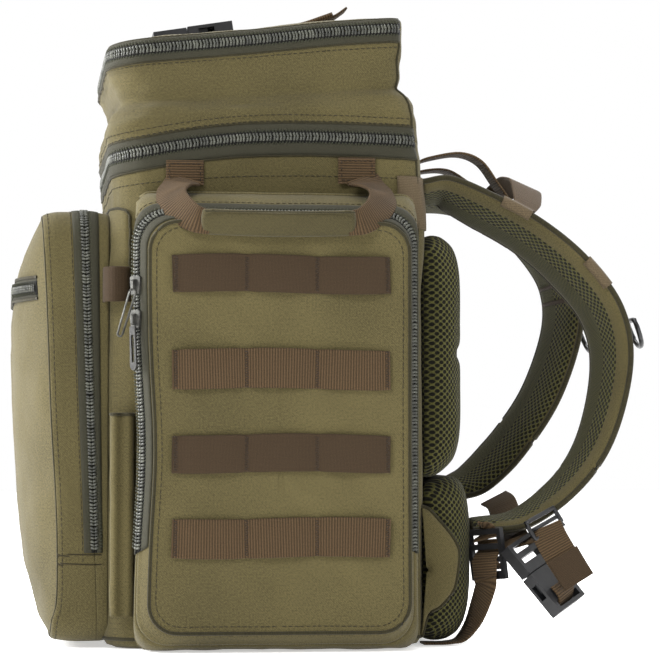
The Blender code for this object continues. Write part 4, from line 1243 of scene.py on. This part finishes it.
def puff(item, voxel, cap, pressure):
    """Swell a closed pad by a short cloth simulation, no further than cap."""
    remesh = item.modifiers.new("remesh", "REMESH")
    remesh.mode = "VOXEL"
    remesh.voxel_size = voxel * MM
    apply_modifiers(item)
    start = np.array([v.co for v in item.data.vertices])
    cloth_change = item.modifiers.new("cloth", "CLOTH")
    settings = cloth_change.settings
    settings.use_pressure = True
    settings.uniform_pressure_force = pressure
    settings.effector_weights.gravity = 0.0
    settings.quality = 4
    for number in range(1, 13):
        bpy.context.scene.frame_set(number)
    depsgraph = bpy.context.evaluated_depsgraph_get()
    moved = np.array([v.co for v in item.evaluated_get(depsgraph).data.vertices])
    item.modifiers.clear()
    bpy.context.scene.frame_set(1)
    shift = moved - start
    size = np.linalg.norm(shift, axis=1, keepdims=True)
    shift *= np.minimum(1.0, cap * MM / np.maximum(size, 1e-9))
    item.data.vertices.foreach_set("co", (start + shift).astype(np.float32).ravel())
    fine = item.modifiers.new("fine", "SUBSURF")
    fine.levels = 1
    fine.render_levels = 1
    apply_modifiers(item)
    item.data.polygons.foreach_set("use_smooth", [True] * len(item.data.polygons))
    box_uv(item.data)


# ---------------------------------------------------------------- padding on the back
def wrap_uv(item):
    """Cloth coordinates that run round the pad's edge and over its face."""
    mesh = item.data
    spots = np.empty(len(mesh.vertices) * 3, np.float32)
    mesh.vertices.foreach_get("co", spots)
    spots = spots.reshape(-1, 3) / MM
    vertex_uv(mesh, np.stack([spots[:, 0] - np.abs(spots[:, 1]), spots[:, 2]], 1))


def pad(name, keys, node, sinks):
    """A crowned mesh pad; keys are x, half width, low, high, radius, rings to next."""

    def ring_at(shape, _):
        x, half, low, high, radius = shape
        return [Vector((x, y, z)) for y, z in pocket_outline(-half, half, low, high, radius, 120)]

    rings, _ = dense_keys(keys, ring_at)
    middle = (keys[0][0] + 8, 0, (keys[0][2] + keys[0][3]) / 2)
    item = grid(name, rings, MESH, True, ("first", "last"), inside=middle)
    puff(item, 4.5, 2.0, 4)
    for test, depth in sinks:
        groove(item, test, depth)
    wrap_uv(item)
    settle(item, "pack_body", [node])


def groove(item, test, depth):
    """Sink sewn channels into a pad: test gives 0 to 1 at a point in millimetres."""
    for vertex in item.data.vertices:
        spot = vertex.co / MM
        share = test(spot)
        if share > 0 and spot.x > 120:
            vertex.co.x -= depth * share * MM


CROSS_SEAM = 212  # height of the seam across the back pad


def back_padding():
    pad("back_padding", (
        (116.6, 101, 119.5, 297, 18, 2),
        (124, 103.5, 121, 300, 20, 2),
        (133, 102, 127, 297, 20, 3),
        (142, 97, 136, 289, 24, 3),
        (145.5, 82, 152, 274, 26, 3),
        (146.5, 40, 190, 240, 20, 1),
    ), "back_pad", (
        (lambda p: math.exp(-((p.y / 9) ** 2)), 7.0),
        (lambda p: math.exp(-(((p.z - CROSS_SEAM) / 5) ** 2)) * (abs(p.y) < 92), 3.0),
    ))
    pad("lumbar_padding", (
        (116.6, 98, 3.5, 117, 16, 2),
        (126, 100, 2.5, 121, 18, 3),
        (140, 98, 6, 123, 20, 3),
        (149, 93, 16, 118, 24, 3),
        (153, 78, 34, 104, 26, 2),
        (154, 30, 62, 76, 6, 1),
    ), "lumbar_pad", ((lambda p: math.exp(-((p.y / 8) ** 2)), 5.0),))


# side view of a hip wing, and how far out it stands from its rim to its middle
WING_CORNERS = (
    (115, 101), (121, 98), (131, 87), (139, 76.5), (142.3, 67), (141, 52), (138, 40), (129, 29),
    (120, 23), (115, 7),
)
WING_CROWN = (
    (1.0, 100.5), (1.0, 102.5), (0.99, 105.2), (0.95, 107.2), (0.85, 108.2), (0.6, 108.8),
    (0.3, 109), (0.05, 109),
)


def hip_wing(side, label):
    path = smooth_path([(x, 0, z) for x, z in WING_CORNERS], 5)
    middle = Vector((118, 0, 55))
    rows = []
    for share, out in WING_CROWN:
        row = []
        for p in path:
            q = middle.lerp(p, share)
            row.append(Vector((q.x, side * (out + 0.6 * rough(q.x / 14, side, q.z / 10)), q.z)))
        rows.append(row)
    wing = grid(f"wing_{label}", rows, FABRIC, inside=(110, side * 60, 55), thick=1.5)
    settle(wing, "pack_body", [f"hip_wing_{label}"])
    edge = [Vector((p.x, side * 105.4, p.z)) for p in path]
    edging(f"wing_edge_{label}", edge, 1.3, "pack_body")


def anchor_band():
    """The wide webbing across the top of the back that the straps are sewn under."""
    rows = []
    for z in np.linspace(300.5, 338.5, 9):
        row = []
        w = MARK[SHOULDER] + (z - 300) / 19 * 3
        for k in range(100):
            s = -0.148 + 0.296 * k / 99
            spot = SKIN.at(s, w)
            out = SKIN.normal(s, w)
            swell = 1.3 + 0.5 * math.sin(math.pi * (z - 300) / 38)
            swell += 0.9 * rough(spot.y / 9, z / 16, spot.x / 9)
            place = spot + out * swell
            place.z = z
            row.append(place)
        rows.append(row)
    band = grid("anchor_webbing", rows, BAND, thick=1.2)
    settle(band, "pack_body", ["anchor_band"])


# ---------------------------------------------------------------- harness
STRAP_WIDTH = 63.0
STRAP_THICK = 12.0
STRAP_DROP = 0.3  # share of the thickness that the strap hangs below its edge line
STRAP_SIDES = 36
NEAR_STRAP = [
    (118.9, 341), (140, 343.5), (171, 331), (208, 311), (242, 283),
    (268, 247), (275, 205), (262, 151), (237, 113), (198, 84), (158, 78),
]
NEAR_STRAP_Y = [-88, -90, -93, -96, -97, -97, -97, -97, -97, -97, -97]
NEAR_TILT = [10, 16, 18, 14, 8, 6]
FAR_STRAP = [
    (118.9, 341), (140, 348), (175, 348), (214, 333), (243, 308),
    (263, 276), (266, 236), (249, 183), (222, 141), (192, 109), (168, 97),
]
FAR_STRAP_Y = [28, 29, 30, 31, 32, 32, 32, 32, 32, 32, 32]
FAR_TILT = [8, 12, 14, 16, 18, 22]
NEAR_PATCHES = (("upper", 20, 25), ("lower", 36, 41))  # first and last ring of each
FAR_ELASTICS = (("upper", 44, 45), ("lower", 48, 49))
D_RING_PIVOTS = (("near", (279.2, -66, 238)), ("far", (270.5, 63, 240)))


class Strap:
    """A padded strap: its outer near edge follows points, and it leans by tilts."""

    def __init__(self, points, side_y, tilts):
        self.edge = smooth_path([(x, y, z) for (x, z), y in zip(points, side_y)], 9)
        self.ways = tangents(self.edge)
        self.tilts = tilts
        self.count = len(self.edge)

    def frame(self, i):
        spot, along = self.edge[i], self.ways[i]
        lean = math.radians(between(self.tilts, i / (self.count - 1)))
        inward = Vector((along.z, 0, -along.x)).normalized()
        side = Vector((0, math.cos(lean), 0)) + inward * math.sin(lean)
        side = (side - side.dot(along) * along).normalized()
        down = along.cross(side).normalized()
        if down.dot(inward) < 0:
            down = -down
        left = (self.count - 1 - i) / 15.0
        width = STRAP_WIDTH * min(1.0, 0.5 + 0.5 * math.sqrt(max(left, 0.0)))
        return spot + side * (STRAP_WIDTH / 2), side, down, width

    def ring(self, i, grow=0.0, count=STRAP_SIDES):
        """Cross-section points and their (across, up) numbers."""
        centre, side, down, width = self.frame(i)
        points, numbers = [], []
        for k in range(count):
            turn = 2 * math.pi * k / count
            c, s = math.cos(turn), math.sin(turn)
            u = swollen(c, 0.5) * (width / 2 + grow)
            edge = abs(u) / (width / 2 + grow)
            thick = (STRAP_THICK / 2 + grow) * (1 - 0.42 * edge**4)
            v = swollen(s, 0.8) * thick
            points.append(centre + side * u + down * (v + STRAP_THICK * STRAP_DROP))
            numbers.append((u, v))
        return points, numbers

    def surface(self, name, first, last, looks, pick, grow=0.0):
        points, uv, faces, choice = [], [], [], []
        travelled, count = 0.0, STRAP_SIDES
        for i in range(first, last + 1):
            ring, numbers = self.ring(i, grow)
            if i > first:
                travelled += (self.edge[i] - self.edge[i - 1]).length
            points += ring
            uv += [(u, travelled) for u, _ in numbers]
            if i < last:
                row = (i - first) * count
                for j in range(count):
                    k = (j + 1) % count
                    faces.append((row + j, row + k, row + count + k, row + count + j))
                    u, v = numbers[j][0], (numbers[j][1] + numbers[k][1]) / 2
                    choice.append(pick(u, v))
        end = (last - first) * count
        faces.append(tuple(reversed(range(count))))
        faces.append(tuple(end + j for j in range(count)))
        choice += [0, 0]
        return piece(name, points, faces, looks, uv=uv, choice=choice)

    def patch(self, name, first, last, look, grow):
        """A piece of webbing over the outer face and the near edge."""
        rows = []
        for i in range(first, last + 1):
            ring, _ = self.ring(i, grow)
            rows.append([ring[k % STRAP_SIDES] for k in range(14, 38)])
        return grid(name, rows, look, inside=self.frame((first + last) // 2)[0], thick=1.4)

    def edge_line(self, share):
        """The middle of the strap's edge, on its near side at -1 and its far side at 1."""
        path = []
        for i in range(self.count):
            centre, side, down, width = self.frame(i)
            path.append(centre + side * (width / 2 * share) + down * (STRAP_THICK * STRAP_DROP))
        return path


def strap_material(u, v):
    """Mesh on the side against the wearer, plain cloth outside and along the outer edge."""
    if v > 0.8 and 14 - STRAP_WIDTH / 2 < u < STRAP_WIDTH / 2 - 5:
        return 1
    return 0


def far_strap_material(u, v):
    """The far strap shows mesh from edge to edge."""
    return 1 if v > 0.4 and abs(u) < STRAP_WIDTH / 2 - 3 else 0


def shoulder_straps():
    near = Strap(NEAR_STRAP, NEAR_STRAP_Y, NEAR_TILT)
    far = Strap(FAR_STRAP, FAR_STRAP_Y, FAR_TILT)
    for label, strap in (("near", near), ("far", far)):
        pick = strap_material if label == "near" else far_strap_material
        body = strap.surface(f"strap_{label}", 0, strap.count - 1, [FABRIC, STRAP_MESH], pick)
        settle(body, "pack_body", [f"shoulder_strap_{label}"])
        for tag, share in (("outer", -1.0), ("inner", 1.0)):
            edging(f"strap_{label}_binding_{tag}", strap.edge_line(share), 2.1, "pack_body")
    for tag, first, last in NEAR_PATCHES:
        patch = near.patch(f"strap_patch_{tag}", first, last, BAND, 2.8)
        settle(patch, "pack_body")
    for tag, first, last in FAR_ELASTICS:
        band = far.surface(f"strap_elastic_{tag}", first, last, [BROWN_SMOOTH], lambda u, v: 0, 0.9)
        settle(band, "pack_body")
    for label, pivot in D_RING_PIVOTS:
        d_ring(label, Vector(pivot))


def d_ring(label, pivot):
    """The round-rod ring that swings on its webbing tab."""
    hang = Vector((0.35, 0, -0.94))
    out = Vector((0, 1, 0))
    path = [pivot + out * y for y in np.linspace(-11, 11, 8)]
    for step in range(19):
        turn = math.pi * step / 18
        path.append(pivot + out * 12 * math.cos(turn) + hang * (5 + 15.5 * math.sin(turn) ** 0.8))
    ring = tube(f"d_ring_{label}_rod", path, 1.9, RING_METAL, closed=True, sides=12)
    settle(ring, f"{label}_d_ring", [f"d_ring_{label}"])


WIRE_PIVOT = (-95.6, -153.7, 250.6)


def wire_pull():
    """The thin wire loop that hangs from the upper slider of the near side pocket."""
    pivot = Vector(WIRE_PIVOT)
    way = Vector((-9.5, -3, -32)).normalized()
    side = way.cross(Vector((0, -1, 0))).normalized()
    path = []
    for step in range(9):
        turn = math.pi * step / 8
        path.append(pivot + way * (31 + 1.6 * math.sin(turn)) + side * 1.7 * math.cos(turn))
    for step in range(9):
        turn = math.pi * step / 8
        path.append(pivot + way * (0.5 - 2.2 * math.sin(turn)) - side * 2.2 * math.cos(turn))
    pull = tube("wire_pull", path, 0.75, METAL, closed=True)
    settle(pull, "near_upper_pull", ["zip_pull_near_upper"])


LIFTERS = {
    "near": [
        (112, -60, 349), (118, -60, 353.5), (128, -60, 357.5), (150, -60, 361), (166, -60, 355),
        (178, -60, 339), (186, -60, 328),
    ],
    "far": [
        (112, 60, 349), (118, 60, 353.5), (128, 60, 357.5), (146, 60, 362), (162, 60, 361.5),
        (178, 60, 352),
    ],
}
GRAB = [
    (199, -66, 322), (204, -50, 330), (208, -25, 341), (209, 0, 346), (207, 20, 348),
    (203, 45, 345), (196, 62, 338),
]
GRAB_WIDTHS = [18, 24, 27, 27, 26, 23, 20]


def top_webbing():
    for label, path in LIFTERS.items():
        nodes = [f"load_lifter_{label}"]
        webbing(f"lifter_{label}", path, (0, 1, 0), "pack_body", nodes, steps=6)
    lean = [(1, 0, -0.5), (1, 0, -0.35)]
    webbing("grab_loop", GRAB, lean, "pack_body", ["grab_handle"], steps=6, widths=GRAB_WIDTHS)


LADDER_LOCKS = {  # origin, along and across
    "near": ((163, -93, 84), (0.12, 0, -0.99), (0.62, -0.78, 0.1)),
    "far": ((166, 62, 92), (-0.1, 0.35, -0.93), (0.3, 0.95, 0.2)),
}


def lower_webbing(side, label):
    """The webbing from the hip wing up to the ladder lock, through it and on to the strap."""
    y = side * 88
    matrix = axes_matrix(*LADDER_LOCKS[label])
    across = matrix.col[1].to_3d()
    across = across if across.y > 0 else -across
    turn = [(0, 1, 0), across]
    low = matrix @ Vector((22.25, 0, 4.0))
    bend = matrix @ Vector((34, 0, 5.4))
    path = [(118, y, 1.6), (136, y, 1.8), (147, y, 5), (156, y, 18)]
    path += [bend + Vector((0, 0, -8)), bend, low]
    nodes = [f"adjuster_webbing_{label}"]
    webbing(f"adjuster_{label}", path, turn, "pack_body", nodes, width=24.0, steps=6)
    fill = [(29.5, -3.4), (26.5, 0), (22.5, 3.6), (18, 0), (15.5, -3.4), (8, -4.4)]
    path = [matrix @ Vector((x, 0, z)) for x, z in fill]
    webbing(f"lock_fill_{label}", path, across, "pack_body", width=23.0, steps=5)
    top = matrix @ Vector((7.5, 0, 0))
    start = Vector((161, -88, 86)) if side < 0 else Vector((170, 58, 101))
    path = [start, (start + top) / 2 + Vector((2, 0, 1)), top]
    webbing(f"lock_loop_{label}", path, turn, "pack_body", width=23.0, steps=6)


def chest_strap():
    across = Vector((0.62, 0.68, 0.39))
    matrix = axes_matrix((200.5, -108, 55), (0.60, -0.22, -0.77), across)
    male_end = matrix @ Vector((-22, 0, 0))
    path = [(193, 30, 105), (195, 8, 101), (194, -22, 87), (190, -60, 77), (186, -84, 77), male_end]
    turn = [(1, 0, 0.5), across]
    nodes = ["sternum_webbing"]
    webbing("chest_webbing", path, turn, "pack_body", nodes, width=23.0, steps=6)
    tail = [(205, -109, 86), (208, -115, 77), (213, -120, 67), (219, -123, 57), (225, -124.5, 47.5)]
    turn = (0.74, 0.05, 0.67)
    webbing("chest_tail", tail, turn, "sternum_socket", ["sternum_tail"], width=24.0)
    fold = [(214.5, -122, 66.5), (220, -124.6, 56.5), (226, -126.2, 46.5)]
    webbing(
        "chest_tail_fold", fold, turn, "sternum_socket", look=BROWN_SMOOTH, width=24.6, steps=6,
    )
    loop = [(16, 7), (24, 6.4), (28.5, 1), (29.5, -5.5), (14, -7)]
    path = [matrix @ Vector((x, 0, z)) for x, z in loop]
    webbing("chest_socket_loop", path, across, "sternum_socket", width=22.0, steps=6)
    chest_slider()


def chest_slider():
    """The small frame that the sternum strap's webbing is doubled through."""
    place = axes_matrix((205, -106, 88), (0.5, -0.2, -0.85), (0.75, 0.3, 0.45))
    corners = [place @ Vector(p) for p in ((-7, -13, 0), (-7, 13, 0), (7, 13, 0), (7, -13, 0))]
    path = []
    for a, b in zip(corners, corners[1:] + corners[:1]):
        path += [a.lerp(b, k / 6) for k in range(6)]
    settle(tube("chest_slider_frame", path, 1.7, PLASTIC, closed=True), "pack_body")
    bar = [place @ Vector((0, y, 0)) for y in np.linspace(-12, 12, 6)]
    settle(tube("chest_slider_bar", bar, 1.6, PLASTIC), "pack_body")


# ---------------------------------------------------------------- small pieces
def lid_strap():
    level = (0, 1, 0)
    front_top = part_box("lid_strap_front")[1].z / MM
    front = [(-108, 0, 437.5), (-101, 0, 441), (-91, 0, 444.5), (-82, 0, 447.5)]
    front += [(-75, 0, front_top - 1)]
    bend = ("lid_body", "lid_plug", (-102, 0, 441), (-86, 0, 446))
    webbing(
        "lid_webbing_front", front, level, "lid_plug", ["lid_strap_front"], bend=bend, width=24.0,
        steps=6,
    )
    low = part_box("lid_strap_rear")[0]
    x0, z0 = low.x / MM, low.z / MM + 1.0
    rear = [(x0, 0, z0), (0, 0, z0 + 1), (20, 0, z0 + 3), (40, 0, 463.5), (54, 0, 468.5)]
    rear += [(64, 0, 472), (73, 0, 478.3)]
    nodes = ["lid_strap_rear"]
    webbing("lid_webbing_rear", rear, level, "lid_body", nodes, width=24.0, steps=6)
    doubled = [(28, 0, z0 + 6.3), (40, 0, 465), (54, 0, 470), (62, 0, 473)]
    webbing("lid_webbing_doubled", doubled, level, "lid_body", width=24.6, thick=3.4, steps=6)


def share_passing(x, w):
    """Where a ring of the tower passes x on the near side, coming from the rear."""
    for s in np.linspace(0.14, 0.5, 400):
        if SKIN.at(float(s), w).x <= x:
            return float(s)
    return 0.5


def tool_loop():
    loop = [(-95.5, -111.5), (-99, -118), (-107, -119.2), (-113, -114), (-113.8, -103)]
    path = [(x, y, 258.5) for x, y in loop]
    webbing("tool_webbing", path, (0, 0, 1), "pack_body", ["tool_loop"], BROWN_SMOOTH)


def tool_sleeve():
    """The narrow fabric sleeve, pinched along its middle into two lobes."""
    rows = []
    for z in np.linspace(24, 166, 30):
        swell = 1 + 0.05 * rough(z / 16, 0, 0, 4)
        ring = []
        for j in range(36):
            turn = 2 * math.pi * j / 36
            c, s = math.cos(turn), math.sin(turn)
            pinch = 0.5 + 0.5 * min(1.0, abs(c) * 2.2)
            x = -101.0 + swollen(c, 0.8) * 8.4 * swell
            y = -117.4 + swollen(s, 0.7) * 6.0 * swell * pinch
            ring.append(Vector((x, y, z)))
        rows.append(ring)
    sleeve = grid(
        "tool_pocket", rows, [FABRIC, LINING], True, ("first",), inside=(-101, -117.4, 90), thick=1.2,
    )
    settle(sleeve, "pack_body", ["tool_sleeve"])
    rim = [p + Vector((0, 0, 0.2)) for p in rows[-1]]
    edging("tool_pocket_rim", rim, 1.0, "pack_body", closed=True)


def corner_flap():
    """The small fabric flap over the corner between the front and near side pockets."""
    front_share = 0.455
    rows = []
    for z in np.linspace(266, 314, 25):
        w = MARK[BODY_TOP] + (z - 250) / 50 * 5 if z < 300 else MARK[SHOULDER] + (z - 300) / 6
        cut = 8 - math.sqrt(max(64 - max(0.0, z - 306) ** 2, 0.0))
        last = share_passing(-94.5 - cut, w)
        row = []
        for k in range(16):
            s = front_share + (last - front_share) * k / 15
            spot = SKIN.lifted(s, w, 1.8 + 0.8 * rough(k / 5, z / 11, 0, 2))
            spot.z = z
            row.append(spot)
        rows.append(row)
    settle(grid("corner_flap", rows, FABRIC, thick=1.3), "pack_body")
    path = [row[-1] for row in rows] + rows[-1][-2::-1]
    edging("corner_flap_piping", path, 0.9, "pack_body")


PLASTIC_NODES = (
    "lid_buckle_female", "lid_buckle_male", "sternum_buckle_female", "sternum_buckle_male",
    "ladder_lock_near", "ladder_lock_far",
)
METAL_NODES = (
    "zip_slider_near_upper", "zip_slider_near_lower", "main_zip_slider", "lid_zip_slider",
    "front_zip_slider",
)


def hard_parts():
    """The moulded and metal CAD pieces stay, with rounded edges and their own looks."""
    nodes = frame["nodes"]
    sets = (
        (PLASTIC_NODES, PLASTIC, "black_plastic", 1.5),
        (METAL_NODES, METAL, "dark_metal", 0.45),
        (("zip_pull_near_lower",), PULL, "dark_metal", 0.45),
        (("base_board", "frame_sheet"), BOARD, "black_plastic", 0.5),
    )
    for names, look, slot, radius in sets:
        for name in names:
            node = nodes[name]
            node.data.materials.clear()
            node.data.materials.append(look)
            bevel = node.modifiers.new("round", "BEVEL")
            bevel.width = radius * MM
            bevel.segments = 3
            bevel.limit_method = "ANGLE"
            for face in node.data.polygons:
                face.use_smooth = True


# ---------------------------------------------------------------- studio
LAMPS = (  # name, place, target, size, watts
    ("key", (-1.1, -1.7, 1.8), (0, 0, 0.25), 0.8, 44),
    ("fill", (1.6, -1.6, 0.8), (0.1, 0, 0.2), 1.4, 10),
    ("rim", (-1.8, 0.3, 0.9), (-0.1, 0, 0.25), 0.8, 70),
    ("top", (0.1, 0.1, 2.2), (0, 0, 0.2), 1.2, 40),
    ("back", (1.4, 1.4, 1.0), (0.1, 0, 0.2), 1.2, 22),
)
CAMERA_PLACE = (-0.1819, -1.9824, 0.1283)
CAMERA_TARGET = (0.0615, 0.0, 0.233)


def place_facing(name, data, place, target):
    """A lamp or camera at place, turned to its target."""
    item = bpy.data.objects.new(name, data)
    item.location = place
    way = Vector(target) - Vector(place)
    item.rotation_euler = way.to_track_quat("-Z", "Y").to_euler()
    bpy.context.scene.collection.objects.link(item)
    return item


def studio_floor():
    mesh = bpy.data.meshes.new("floor")
    reach = 12.0
    corners = [(-reach, -reach, 0), (reach, -reach, 0), (reach, reach, 0), (-reach, reach, 0)]
    mesh.from_pydata(corners, [], [(0, 1, 2, 3)])
    floor = bpy.data.objects.new("floor", mesh)
    bpy.context.scene.collection.objects.link(floor)
    look = Look("floor_look", 0.9)
    shade = look.noise(look.place, 2.0, 2.0)
    look.shader.inputs["Emission Color"].default_value = (1, 1, 1, 1)
    look.shader.inputs["Emission Strength"].default_value = 0.5
    pale = look.mix(shade, (0.96, 0.96, 0.96, 1), (0.98, 0.98, 0.98, 1))
    mesh.materials.append(look.finish(pale, shade, 0.1))


def studio_world():
    """White surroundings that are dimmer on the near side."""
    world = bpy.data.worlds.new("studio")
    bpy.context.scene.world = world
    world.use_nodes = True
    tree = world.node_tree
    background = tree.nodes["Background"]
    where = tree.nodes.new("ShaderNodeTexCoord")
    parts = tree.nodes.new("ShaderNodeSeparateXYZ")
    fade = tree.nodes.new("ShaderNodeMapRange")
    for socket, number in zip(fade.inputs[1:5], (-0.6, 0.1, 0.5, 1.0)):
        socket.default_value = number
    tree.links.new(where.outputs["Generated"], parts.inputs[0])
    tree.links.new(parts.outputs[1], fade.inputs[0])
    tree.links.new(fade.outputs[0], background.inputs[1])
    background.inputs[0].default_value = (1, 1, 1, 1)


def studio():
    studio_floor()
    studio_world()
    for name, place, target, size, power in LAMPS:
        light = bpy.data.lights.new(name, "AREA")
        light.size = size
        light.energy = power
        place_facing(name, light, place, target)
    data = bpy.data.cameras.new("camera")
    data.sensor_width = 36.0
    data.lens = 143.5
    bpy.context.scene.camera = place_facing("camera", data, CAMERA_PLACE, CAMERA_TARGET)
    bpy.context.scene.view_settings.view_transform = "Standard"


studio()
shells()
tower_details()
for side_sign, side_name in SIDES:
    side_pocket(side_sign, side_name)
front_pocket()
small_zip()
for side_sign, side_name in SIDES:
    handle(side_sign, side_name)
back_padding()
for side_sign, side_name in SIDES:
    hip_wing(side_sign, side_name)
anchor_band()
shoulder_straps()
top_webbing()
for side_sign, side_name in SIDES:
    lower_webbing(side_sign, side_name)
chest_strap()
lid_strap()
tool_loop()
tool_sleeve()
corner_flap()
hard_parts()
wire_pull()
